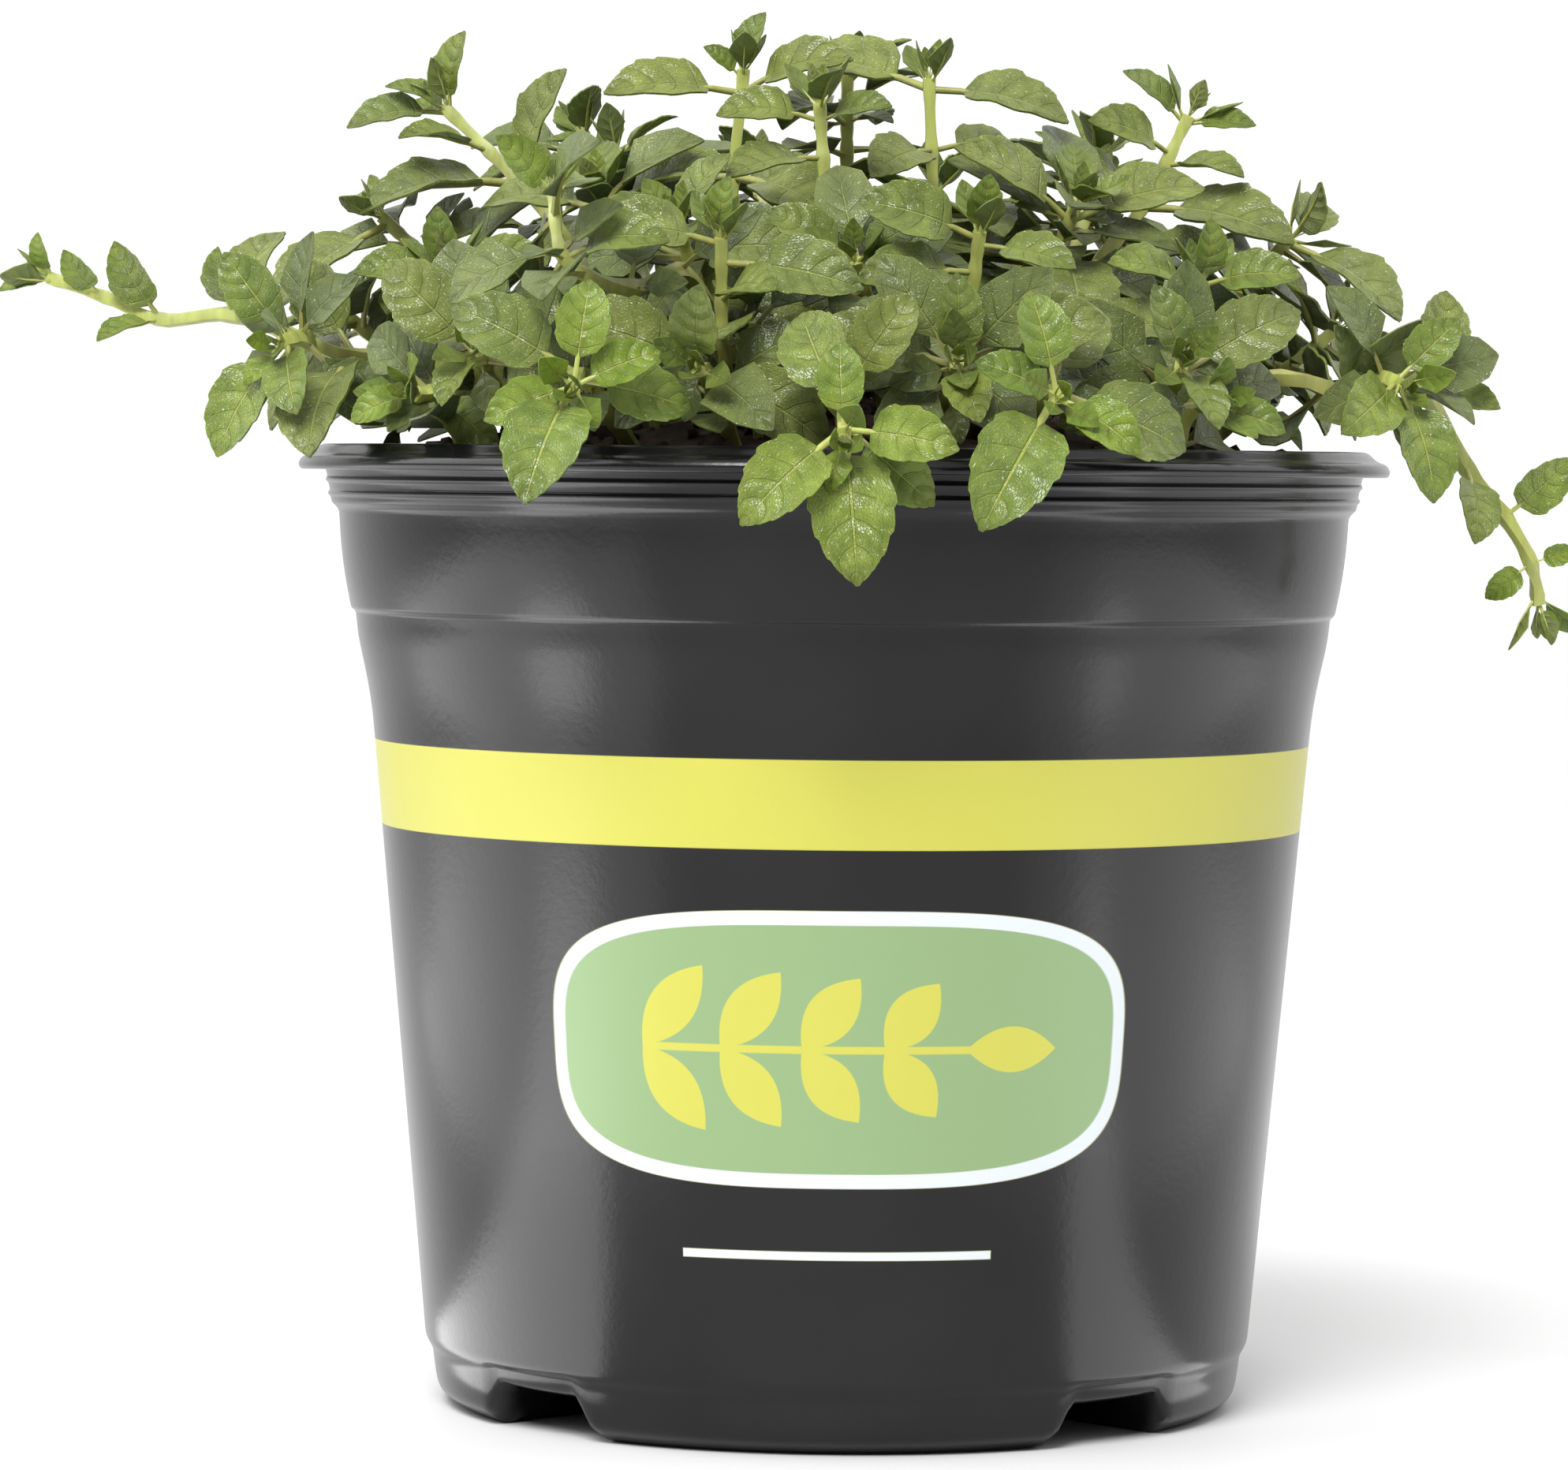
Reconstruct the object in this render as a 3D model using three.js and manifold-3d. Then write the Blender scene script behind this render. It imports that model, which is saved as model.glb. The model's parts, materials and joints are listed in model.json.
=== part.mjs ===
// A young mint plant in a thin black plastic nursery pot.
// Millimetres, +Z up. The origin is the middle of the pot's flat underside, and -Y is the pot's front.
// The pot is one thin shell with a rolled rim, two stacking ledges and four raised drain pockets.
// Potting soil fills it and mounds up in the middle. Square stems stand in holes in the soil, and each
// leafy stem is one solid: its stem, leaf stalks and saw-edged blades, grown by one rule.
import * as THREE from "three";
import { mergeVertices } from "three/addons/utils/BufferGeometryUtils.js";
import Module from "manifold-3d";

const wasm = await Module();
wasm.setup();

// Pot
const RIM_RADIUS = 60; // outer edge of the rolled rim
const CROWN_Z = 105.3; // top of the rim
const FLANGE_Z = 102.6; // underside of the rim's flange
const BASE_THICKNESS = 1.2;
const POT_SIDES = 36;
const FIT_GAP = 0.3; // between two pieces that touch

// Drain pockets, pressed up into the base at its edge
const POCKETS = 4;
const POCKET_HEIGHT = 4.3;
const POCKET_FOOT = 8.6; // half width at the ground
const POCKET_TOP = 6; // half width at its ceiling
const POCKET_INNER = 28; // where it starts, from the axis
const POCKET_OUTER = 50;
const DRAIN_RADIUS = 3;
const DRAIN_FROM_AXIS = 36;
const DRAIN_SIDES = 12;
const DRAIN_CUT = 12; // length of the pin that cuts a drain hole
const CUT_PAST = 1; // how far a cutting solid reaches past what it cuts
const RIM_FLARE = 0.4; // how much the rim's mouth widens over that

// Soil
const SOIL_EDGE_Z = 101.2;
const SOIL_MOUND = 9; // how far its middle stands above its edge
const SOIL_RADIUS = 55;
const SOIL_LUMP = 0.7; // how far its lumps rise and dip,
const SOIL_WAVE = 0.85; // in waves of this many radians a millimetre
const SOIL_SIDES = POT_SIDES / 2;
const SOIL_RINGS = 5;

// Plant
const ROOT_DEPTH = 5; // how deep a stem stands in the soil
const SHAFT_DEPTH = 11; // length of the hole that it stands in, soil to foot and past both
const FOOT_SHARE = 0.04; // where along a stem the direction of its foot is read
const FEW_BENDS = 4; // a path of up to this many points gets a ring halfway between them too
const STEM_BASE = 0.85; // half width across the flats of a stem at the soil
const STEM_TIP = 0.55; // and at its tip
const LAST_NODE = 0.97; // the topmost pair of leaves, as a share of the stem's length
const FIRST_NODE = 0.4; // and the lowest pair,
const FIRST_OF_TWO = 0.6; // or the lowest of two pairs or fewer
const NODE_CROWDING = 1.5; // how much the pairs crowd towards the tip
const STALK = 0.5; // half width of a leaf's stalk
const RIB = 0.48; // half thickness of a blade along its rib
const OWN_WAY = 0.3; // how much a leaf's upper side keeps to its stem's direction,
const OUTWARD = 0.6; // turns away from the middle of the bush
const HEART_Z = 96; // which is at this height, and the height counts for less:
const HEIGHT_SHARE = 0.8;
const LIGHT = new THREE.Vector3(0, -0.55, 0.3); // and turns to the light
const AIMED_LIGHT = 2; // an aimed leaf turns to the light more
const STALK_SHARE = 0.26; // length of the stalk, as a share of the blade's
const SHORT_STALK = 0.16; // and of a small leaf's
const BLADE_HALF = 0.34; // half width of the blade, as a share of its length
const FOLD = 0.32; // how far a blade's two halves rise from its rib, in radians
const SMALL_LEAF = 8.2; // shorter blades get few teeth and a short stalk
const LARGE_LEAF = 11.5; // longer ones get more teeth
const CLEARANCE = 1.75; // between the sample points of two different stems' leaves
const OWN_CLEARANCE = 1.25; // and of two leaves of one stem,
const FREE_SHARE = 0.22; // once they are this share of a blade past their stalks
const POT_CLEARANCE = 1.1; // between a leaf's sample points and the pot or soil
const SAMPLE_STEP = 1.5;
const NARROW = 0.3; // where a blade is narrower than this, its rib alone is sampled
const BELLY = 0.75; // below 1, a blade is widest nearer its stalk
const STEM_SAMPLES = 40;
const SEED = 20261;

// How leaves differ, in degrees: the least or middle value, its spread, and what each rank down adds
const RANKS = 6; // ranks of leaves between a stem's tip and its foot
const DROOP = 22;
const DROOP_SPREAD = 24;
const DROOP_BY_RANK = 5;
const ROLL_SPREAD = 30;
const AIMED_ROLL_SPREAD = 24;
const TURN_SPREAD = 16;
const PAIR_TURN = 90; // each pair stands across the pair below it
const PITCH = 50;
const PITCH_SPREAD = 14;
const PITCH_BY_RANK = 20;
const MOST_PITCH = 102;
const LEAST_LENGTH = 0.94; // a share of the stated length
const LENGTH_SPREAD = 0.12;

// How the stems of a ring differ
const LEAN_SPREAD = 0.1; // a share of their reach
const TOP_SPREAD = 5; // millimetres
const BEND_OUT = 0.6; // share of the way from root to tip, at the bend
const BEND_LIFT = 4; // how far the bend lies above the soil's edge, before it is halved with the top

const RADIANS = Math.PI / 180;
const TINY = 1e-6;

// Half of the pot's outline, from the middle of its base up to the crown of its rim: radius, height.
const outside = [
  [0, 0],
  [41.6, 0],
  [43.9, 1.6],
  [44.6, 6],
  [45.4, 7.3],
  [51.8, 77.5],
  [53.3, 84.3],
  [53.6, 87],
  [54.1, 87.4],
  [55.6, 98.4],
  [56.3, 99],
  [57, FLANGE_Z],
  [RIM_RADIUS, FLANGE_Z],
  [RIM_RADIUS - 0.2, 103.8],
  [57.2, CROWN_Z],
];

// The inside, from the crown down to the middle of the floor.
const inside = [
  [56, 104.8],
  [55.4, 99.8],
  [54.5, 98],
  [52.7, 86.8],
  [50.7, 77.4],
  [44.2, 7],
  [42.4, BASE_THICKNESS],
  [0, BASE_THICKNESS],
];

// Leafy stems, the ones at the front first. path is a root in the soil, bends and a tip. lengths are the
// blades of the leaf pairs, lowest pair first, and turn is the first pair's angle. aimed leaves go from a
// share of the stem's length to a point in space: share, x, y, z.
const stems = [
  {
    name: "crown_left",
    path: [[-8, 6], [-12.5, 4, 128], [-11.5, 4, 147]],
    nodes: [0.42, 0.68],
    lengths: [14, 14],
    turn: 50,
    aimed: [[0.97, -9, 3, 153.5], [0.97, -16, 3, 149.5], [0.93, -27, 0, 144], [0.93, 1, -1, 148]],
  },
  {
    name: "crown_right",
    path: [[7, 4], [9.5, 2, 126], [9, 1, 146]],
    nodes: [0.42, 0.62],
    lengths: [14, 14],
    turn: 40,
    aimed: [[0.97, -5.5, 9, 151.5], [0.97, 24.5, -2, 141], [0.8, 2.5, -10, 134.5], [0.8, 20, 8, 138]],
  },
  {
    name: "crown_middle",
    path: [[-1, -8], [-2, -12, 128], [-3, -12, 142.5]],
    nodes: [0.5, 0.97],
    lengths: [13, 6],
    turn: 20,
    aimed: [[0.93, -14.5, -14, 141], [0.93, 5, -16, 142], [0.78, -13, -20, 134]],
  },
  {
    name: "high_left",
    path: [[-20, 6], [-30, 7, 126], [-36.5, 8, 134.5], [-45, 10, 143]],
    nodes: [0.4],
    lengths: [14],
    turn: 100,
    aimed: [
      [0.97, -42.5, 8, 151.5],
      [0.97, -55, 8, 140.5],
      [0.95, -51, 10, 146.5],
      [0.8, -49, 3, 139],
      [0.66, -54, 2, 130.5],
      [0.66, -31, 3, 147],
    ],
  },
  {
    name: "high_right",
    path: [[18, 6], [27, 7, 124], [33, 8, 132.5], [38, 9, 142.5]],
    nodes: [0.4],
    lengths: [14],
    turn: 80,
    aimed: [
      [0.97, 30.5, 8, 147.5],
      [0.97, 45.5, 8, 141.5],
      [0.86, 28, 3, 143.5],
      [0.82, 44, 3, 135.5],
      [0.66, 49.5, 0, 128],
      [0.66, 22, 0, 137],
    ],
  },
  {
    name: "middle_left",
    path: [[-9, -24], [-12.5, -36, 114], [-13, -40, 127]],
    nodes: [0.75],
    lengths: [9],
    turn: -60,
    aimed: [
      [0.97, -12, -42, 133.5],
      [0.97, -27.5, -42, 127],
      [0.9, 2, -44, 121.5],
      [0.62, -12.5, -52, 109.5],
    ],
  },
  {
    name: "middle_right",
    path: [[12, -20], [12.5, -31, 114], [14, -35, 128]],
    nodes: [0.7],
    lengths: [11],
    turn: -20,
    aimed: [
      [0.97, 1, -37, 131],
      [0.97, 15, -38, 134],
      [0.95, 24, -40, 124],
      [0.85, 1, -40, 122.5],
      [0.6, 6.5, -48, 109.5],
    ],
  },
  {
    name: "side_left",
    path: [[-30, -10], [-40.5, -14, 114], [-42.5, -15, 124]],
    nodes: [0.75],
    lengths: [11],
    turn: -40,
    aimed: [[0.97, -44, -17, 131], [0.97, -53, -19, 123.5], [0.97, -32, -20, 125.5], [0.6, -37, -29, 109]],
  },
  {
    name: "side_right",
    path: [[28, -12], [36.5, -16, 113], [38, -17, 123.5]],
    nodes: [0.75],
    lengths: [11],
    turn: -140,
    aimed: [[0.97, 39, -19, 130.5], [0.97, 49, -20, 124], [0.97, 28.5, -22, 125], [0.6, 34, -30, 109.5]],
  },
  {
    name: "front_left",
    path: [[-20, -30], [-26.5, -48, 112], [-27.5, -60, 111]],
    nodes: [0.5, 0.72],
    lengths: [12, 12],
    turn: 60,
    aimed: [
      [0.97, -26, -57, 121.5],
      [0.95, -36.5, -61, 107.5],
      [0.95, -18.5, -60, 114.5],
      [0.92, -33, -67, 97],
      [0.8, -15.5, -53, 109],
    ],
  },
  {
    name: "front_right",
    path: [[15, -30], [20.5, -48, 110.5], [21.5, -60, 110.5]],
    nodes: [0.5, 0.72],
    lengths: [12, 12],
    turn: 70,
    aimed: [[0.97, 18.5, -57, 121.5], [0.95, 13, -60, 114], [0.95, 30, -63, 104.5], [0.92, 13.5, -67, 96.5]],
  },
  {
    name: "front_centre",
    path: [[0, -32], [0, -54, 110.5], [0, -66, 106.5]],
    nodes: [0.5],
    lengths: [12],
    turn: 60,
    aimed: [
      [0.97, -0.5, -63, 116],
      [0.83, -4.5, -53, 119],
      [0.95, -10.5, -70, 97],
      [0.95, 12.5, -67, 106],
      [0.9, 7, -70, 98.5],
      [0.86, 1.5, -69, 91],
    ],
  },
  {
    name: "arching",
    path: [[-7, -20], [-16, -30, 122.5], [-22.5, -42, 121.5], [-29, -45, 124.5], [-30.5, -43, 132]],
    nodes: [0.5, 0.75, 0.97],
    lengths: [9, 9, 7],
    turn: 60,
  },
  {
    name: "shoulder_left",
    path: [[-29, 5], [-43, 5, 122], [-51.5, 5, 130.5]],
    nodes: [0.45, 0.72, 0.97],
    lengths: [14, 14, 8],
    turn: 80,
    aimed: [[0.95, -63, -3, 119.5]],
  },
  {
    name: "shoulder_right",
    path: [[28, 5], [42, 5, 122], [49.5, 5, 129]],
    nodes: [0.45, 0.72, 0.97],
    lengths: [14, 14, 8],
    turn: 100,
    aimed: [[0.95, 61, -3, 119.5]],
  },
  {
    name: "rear_left",
    path: [[-18, 22], [-26, 26, 126], [-30, 27, 141]],
    lengths: [14, 14, 11, 7],
    turn: 20,
  },
  {
    name: "rear_right",
    path: [[18, 22], [25, 26, 126], [28.5, 27, 139]],
    lengths: [14, 14, 11, 7],
    turn: -20,
  },
  {
    name: "inner_left",
    path: [[-15, -4], [-24, -5, 124], [-27, -7, 133]],
    lengths: [13, 14, 12, 7],
    turn: -20,
  },
  {
    name: "inner_right",
    path: [[16, -6], [22, -7, 124], [25, -9, 132]],
    lengths: [13, 14, 12, 7],
    turn: 20,
  },
  {
    name: "inner_front_left",
    path: [[-9, -12], [-15, -18, 120], [-18, -22, 129]],
    lengths: [12, 12, 8],
    turn: 30,
  },
  {
    name: "inner_front_right",
    path: [[5, -14], [3, -24, 118], [1, -30, 125]],
    lengths: [13, 12, 8],
    turn: -30,
  },
  {
    name: "low_left",
    path: [[-31, -23], [-37, -31, 112], [-38.5, -38, 115]],
    lengths: [12, 11, 7],
    turn: 60,
  },
  {
    name: "low_right",
    path: [[29, -25], [34, -33, 111], [35, -40, 114]],
    lengths: [12, 11, 7],
    turn: -60,
  },
  {
    name: "low_front_left",
    path: [[-10, -35], [-14, -45, 112], [-15, -51, 113]],
    lengths: [12, 12, 8],
    turn: 80,
  },
  {
    name: "low_front_right",
    path: [[9, -35], [11, -45, 112], [11.5, -51, 114]],
    lengths: [12, 12, 8],
    turn: -80,
  },
  {
    name: "rim_left",
    path: [[-38, -27], [-42, -31, 109.5], [-45, -34, 110.5]],
    lengths: [8, 6.5],
    turn: 80,
  },
  {
    name: "rim_right",
    path: [[33, -33], [36, -36, 109], [38.5, -39, 110]],
    lengths: [8, 6.5],
    turn: -80,
  },
  {
    name: "runner_left",
    path: [
      [-36, -14],
      [-44, -15, 114.5],
      [-52.5, -18, 114.5],
      [-57.5, -18, 116],
      [-66, -15, 119],
      [-74, -13, 118.5],
      [-80.5, -12, 121],
      [-86.5, -11, 123],
    ],
    aimed: [
      [0.286, -59, -12, 125],
      [0.286, -52.5, -33, 102.5],
      [0.571, -67.5, -18, 126.5],
      [0.571, -61, -8, 128.5],
      [0.714, -79, -15, 127],
      [0.714, -80.5, -18, 116],
      [0.857, -84.5, -15, 126],
      [0.985, -87.5, -13, 128],
      [0.985, -92, -11, 121.5],
    ],
  },
  {
    name: "runner_left_branch",
    fusedTo: "runner_left",
    path: [[-57.5, -18, 116], [-58.5, -21.5, 116.5], [-60, -24.5, 116]],
    aimed: [[0.8, -66, -23, 125], [0.8, -56, -30, 108], [0.9, -67.5, -28, 104.5]],
  },
  {
    name: "runner_right",
    path: [
      [33, -13],
      [43.5, -17, 112],
      [48.5, -19, 113],
      [53.5, -19, 111.5],
      [57, -20, 112.5],
      [62.5, -16, 111.5],
      [67, -14, 104],
      [71.5, -13, 98.5],
      [74.5, -12, 93.5],
      [75.5, -11, 89],
    ],
    aimed: [
      [0.333, 52, -24, 119],
      [0.555, 65, -12, 123],
      [0.555, 70.5, -19, 110],
      [0.667, 67.5, -21, 96],
      [0.778, 78.5, -15, 105],
      [0.889, 79.5, -12, 95],
      [0.889, 69.5, -12, 89.5],
      [0.985, 77, -11, 84.5],
    ],
  },
  {
    name: "runner_right_branch",
    fusedTo: "runner_right",
    path: [[57, -20, 112.5], [58, -23, 113], [59, -25.5, 112.5]],
    aimed: [[0.8, 65.5, -23, 119.5], [0.9, 62.5, -29, 99.5], [0.8, 52, -35, 107]],
  },
];

// The rest of the bush, behind and within: rings of stems, each leaning out of the middle.
const rings = [
  { name: "back_outer", count: 7, from: 8, to: 172, root: 36, tip: 57, top: 121, lengths: [14, 14, 11, 7] },
  { name: "back_inner", count: 4, from: 40, to: 140, root: 22, tip: 36, top: 137, lengths: [14, 14, 10, 7] },
  { name: "heart", count: 1, from: 90, to: 90, root: 9, tip: 13, top: 146, lengths: [14, 14, 10, 7] },
];

// Swings that a leaf tries until it is clear of its neighbours: more pitch, more turn, and its size.
const swings = [
  [0, 0, 1],
  [12, 0, 1],
  [-12, 0, 1],
  [0, 18, 1],
  [0, -18, 1],
  [24, 0, 0.95],
  [-24, 0, 0.95],
  [12, 28, 0.9],
  [-12, -28, 0.9],
  [0, 42, 0.85],
  [0, -42, 0.85],
  [35, 0, 0.8],
  [-35, 0, 0.8],
  [20, 30, 0.7],
  [-20, -30, 0.7],
];

// Half outline of a blade: share of its length, share of its half width. The steps back are its teeth.
const fullEdge = [
  [0.1, 0.66],
  [0.38, 1],
  [0.43, 0.86],
  [0.7, 0.74],
  [0.75, 0.54],
];
const middleEdge = [
  [0.24, 0.96],
  [0.5, 0.98],
  [0.56, 0.76],
];
const smallEdge = [
  [0.36, 1],
  [0.46, 0.74],
];

// A repeatable stream of numbers from 0 to 1.
function randomStream(seed) {
  let state = seed;
  return () => {
    state = (state * 16807) % 2147483647;
    return state / 2147483647;
  };
}

function soilHeight(x, y) {
  const share = Math.min(1, Math.hypot(x, y) / SOIL_RADIUS);
  return SOIL_EDGE_Z + SOIL_MOUND * (1 - share * share);
}

// Position on a smooth curve through the points, t from 0 to 1.
function pointOn(points, t) {
  const last = points.length - 1;
  const span = Math.min(last - 1, Math.floor(t * last));
  const w = t * last - span;
  const b = points[span];
  const c = points[span + 1];
  const a = span > 0 ? points[span - 1] : b.map((v, i) => 2 * v - c[i]);
  const d = span + 2 <= last ? points[span + 2] : c.map((v, i) => 2 * v - b[i]);
  return b.map((v, i) => {
    const slopeIn = 0.5 * (c[i] - a[i]);
    const slopeOut = 0.5 * (d[i] - v);
    const w2 = w * w;
    const w3 = w2 * w;
    const cubic = 2 * v - 2 * c[i] + slopeIn + slopeOut;
    const square = -3 * v + 3 * c[i] - 2 * slopeIn - slopeOut;
    return cubic * w3 + square * w2 + slopeIn * w + v;
  });
}

const vec = (p) => new THREE.Vector3(p[0], p[1], p[2]);

function directionOn(points, t) {
  const step = 0.01;
  const from = vec(pointOn(points, Math.max(0, t - step)));
  return vec(pointOn(points, Math.min(1, t + step)))
    .sub(from)
    .normalize();
}

// Two directions square to a stem, turned as little as can be from +X and +Y.
function sidesOf(direction) {
  const { x, y, z } = direction;
  const k = 1 / Math.max(TINY, 1 + z);
  const u = new THREE.Vector3(1 - x * x * k, -x * y * k, -x);
  const v = new THREE.Vector3(-x * y * k, 1 - y * y * k, -y);
  return [u, v];
}

// All stems with their points in space, the chosen ones first and then the rings.
function allStems(random) {
  const made = stems.map((stem) => ({ ...stem }));
  for (const ring of rings) {
    for (let i = 0; i < ring.count; i += 1) {
      const share = ring.count > 1 ? i / (ring.count - 1) : 0;
      const angle = (ring.from + (ring.to - ring.from) * share) * RADIANS;
      const lean = 1 + LEAN_SPREAD * (random() - 0.5);
      const top = ring.top + TOP_SPREAD * (random() - 0.5);
      const at = (r, z) => [r * Math.cos(angle), r * Math.sin(angle), z];
      const bendReach = (1 - BEND_OUT) * ring.root + BEND_OUT * ring.tip;
      const bend = at(bendReach * lean, 0.5 * (SOIL_EDGE_Z + BEND_LIFT + top));
      made.push({
        name: `${ring.name}_${i + 1}`,
        path: [at(ring.root).slice(0, 2), bend, at(ring.tip * lean, top)],
        lengths: ring.lengths,
        turn: 180 * random(),
      });
    }
  }
  for (const stem of made) {
    const [x, y] = stem.path[0];
    if (stem.path[0].length === 2) stem.path = [[x, y, soilHeight(x, y) - ROOT_DEPTH], ...stem.path.slice(1)];
    stem.node = stem.fusedTo ?? stem.name;
    stem.lengths = stem.lengths ?? [];
    stem.nodes = stem.nodes ?? nodeSpacing(stem.lengths.length);
  }
  return made;
}

// Leaf pairs stand closer together towards the tip.
function nodeSpacing(pairs) {
  const first = pairs > 2 ? FIRST_NODE : FIRST_OF_TWO;
  return Array.from({ length: pairs }, (_, i) => {
    const share = pairs > 1 ? i / (pairs - 1) : 1;
    return first + (LAST_NODE - first) * (1 - (1 - share) ** NODE_CROWDING);
  });
}

const stalkOf = (length) => STEM_BASE + (length < SMALL_LEAF ? SHORT_STALK : STALK_SHARE) * length;

// A leaf's rib runs straight along its stalk, and then is an arc that bends away from its upper side.
function makeLeaf(stem, plan, morePitch, moreTurn, size) {
  const along = directionOn(stem.path, plan.at);
  const [u, v] = sidesOf(along);
  const angle = plan.turn + moreTurn * RADIANS;
  const pitch = plan.pitch + morePitch * RADIANS;
  const out = u.multiplyScalar(Math.cos(angle)).addScaledVector(v, Math.sin(angle));
  const axis = along.clone().multiplyScalar(Math.cos(pitch)).addScaledVector(out, Math.sin(pitch));
  const root = vec(pointOn(stem.path, plan.at));
  const outward = new THREE.Vector3(root.x, root.y, HEIGHT_SHARE * (root.z - HEART_Z)).normalize();
  const upper = along.clone().multiplyScalar(Math.sin(pitch)).addScaledVector(out, -Math.cos(pitch));
  upper.multiplyScalar(OWN_WAY).addScaledVector(outward, OUTWARD);
  upper.addScaledVector(LIGHT, plan.aimed ? AIMED_LIGHT : 1);
  upper.addScaledVector(axis, -upper.dot(axis)).normalize();
  upper.applyAxisAngle(axis, plan.roll);
  const length = plan.length * size;
  const leaf = { root, axis, upper, length, stalk: stalkOf(length), bend: plan.droop / length, fold: FOLD };
  if (plan.aimed) {
    const lift = (0.5 * plan.droop * length) / (length + leaf.stalk);
    leaf.axis = axis.clone().multiplyScalar(Math.cos(lift)).addScaledVector(upper, Math.sin(lift));
    leaf.upper = upper.clone().multiplyScalar(Math.cos(lift)).addScaledVector(axis, -Math.sin(lift));
  }
  leaf.side = new THREE.Vector3().crossVectors(leaf.axis, leaf.upper);
  return leaf;
}

// The leaves that a stem is meant to have: the aimed ones, and then its pairs from the tip down.
function leafPlans(stem, random) {
  const plans = [];
  for (const [at, x, y, z] of stem.aimed ?? []) {
    const reach = new THREE.Vector3(x, y, z).sub(vec(pointOn(stem.path, at)));
    const along = directionOn(stem.path, at);
    const [u, v] = sidesOf(along);
    const whole = reach.length();
    const short = whole < stalkOf(SMALL_LEAF) + SMALL_LEAF;
    plans.push({
      at,
      rank: 0,
      aimed: true,
      turn: Math.atan2(reach.dot(v), reach.dot(u)),
      pitch: Math.acos(reach.dot(along) / whole),
      droop: (DROOP + DROOP_SPREAD * random()) * RADIANS,
      roll: AIMED_ROLL_SPREAD * (random() - 0.5) * RADIANS,
      length: (whole - STEM_BASE) / (1 + (short ? SHORT_STALK : STALK_SHARE)),
    });
  }
  for (let pair = stem.lengths.length - 1; pair >= 0; pair -= 1) {
    const rank = Math.round((1 - stem.nodes[pair]) * RANKS);
    const pitch = Math.min(MOST_PITCH, PITCH + PITCH_BY_RANK * rank);
    for (let twin = 0; twin < 2; twin += 1) {
      plans.push({
        at: stem.nodes[pair],
        rank: rank + 1,
        aimed: false,
        turn: (stem.turn + PAIR_TURN * pair + 180 * twin + TURN_SPREAD * (random() - 0.5)) * RADIANS,
        pitch: (pitch + PITCH_SPREAD * (random() - 0.5)) * RADIANS,
        droop: (DROOP + DROOP_BY_RANK * rank + DROOP_SPREAD * random()) * RADIANS,
        roll: ROLL_SPREAD * (random() - 0.5) * RADIANS,
        length: stem.lengths[pair] * (LEAST_LENGTH + LENGTH_SPREAD * random()),
      });
    }
  }
  return plans;
}

// A point of a leaf: s along its rib from the stem, x to the side, h above the rib. The stalk is straight.
function leafPoint(leaf, s, x, h) {
  const turned = leaf.bend * Math.max(0, s - leaf.stalk);
  const forward = Math.min(s, leaf.stalk) + Math.sin(turned) / leaf.bend;
  const down = (1 - Math.cos(turned)) / leaf.bend;
  const rise = h + Math.abs(x) * Math.sin(leaf.fold);
  return leaf.root
    .clone()
    .addScaledVector(leaf.axis, forward + rise * Math.sin(turned))
    .addScaledVector(leaf.upper, rise * Math.cos(turned) - down)
    .addScaledVector(leaf.side, x * Math.cos(leaf.fold));
}

// How wide a blade is along its length, from 0 at its ends to 1.
const roundness = (share) => Math.sqrt(Math.sin(Math.PI * share ** BELLY));

// Points over a leaf, close enough together that two leaves can't cross between them.
function leafSamples(leaf) {
  const whole = leaf.stalk + leaf.length;
  const steps = Math.ceil(whole / SAMPLE_STEP);
  const found = [];
  for (let i = 1; i <= steps; i += 1) {
    const s = (whole * i) / steps;
    const share = (s - leaf.stalk) / leaf.length;
    const half = share > 0 ? BLADE_HALF * leaf.length * roundness(Math.min(1, share)) : 0;
    const across = half > NARROW ? Math.ceil((2 * half) / SAMPLE_STEP) : 0;
    for (let j = 0; j <= across; j += 1) {
      const point = leafPoint(leaf, s, across ? half * ((2 * j) / across - 1) : 0, 0);
      found.push({ point, free: share > FREE_SHARE });
    }
  }
  return found;
}

// A space that remembers which stem's points lie where. Leaves of one stem may touch near their stalks.
function makeSpace() {
  const cells = new Map();
  const cell = (v) => Math.floor(v / CLEARANCE);
  const key = (i, j, k) => `${i},${j},${k}`;
  const steps = [-1, 0, 1];
  const around = steps.flatMap((a) => steps.flatMap((b) => steps.map((c) => [a, b, c])));
  const tooNear = (sample, owner, found) => {
    if (found.owner === owner && !(sample.free && found.free)) return false;
    const limit = found.owner === owner ? OWN_CLEARANCE : CLEARANCE;
    return found.point.distanceToSquared(sample.point) < limit * limit;
  };
  return {
    add(samples, owner) {
      for (const { point, free } of samples) {
        const at = key(cell(point.x), cell(point.y), cell(point.z));
        if (!cells.has(at)) cells.set(at, []);
        cells.get(at).push({ point, free, owner });
      }
    },
    clear(samples, owner) {
      for (const sample of samples) {
        const [i, j, k] = [cell(sample.point.x), cell(sample.point.y), cell(sample.point.z)];
        for (const [a, b, c] of around) {
          const near = cells.get(key(i + a, j + b, k + c));
          if (near?.some((found) => tooNear(sample, owner, found))) return false;
        }
      }
      return true;
    },
  };
}

// Clear of the soil, the pot's wall and its rim.
function clearOfPot({ point }) {
  const r = Math.hypot(point.x, point.y);
  const overSoil = point.z > soilHeight(point.x, point.y) + SOIL_LUMP + POT_CLEARANCE;
  if (point.z > CROWN_Z + POT_CLEARANCE) return r > SOIL_RADIUS || overSoil;
  return r > RIM_RADIUS + POT_CLEARANCE || (r < SOIL_RADIUS - POT_CLEARANCE && overSoil);
}

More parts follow.
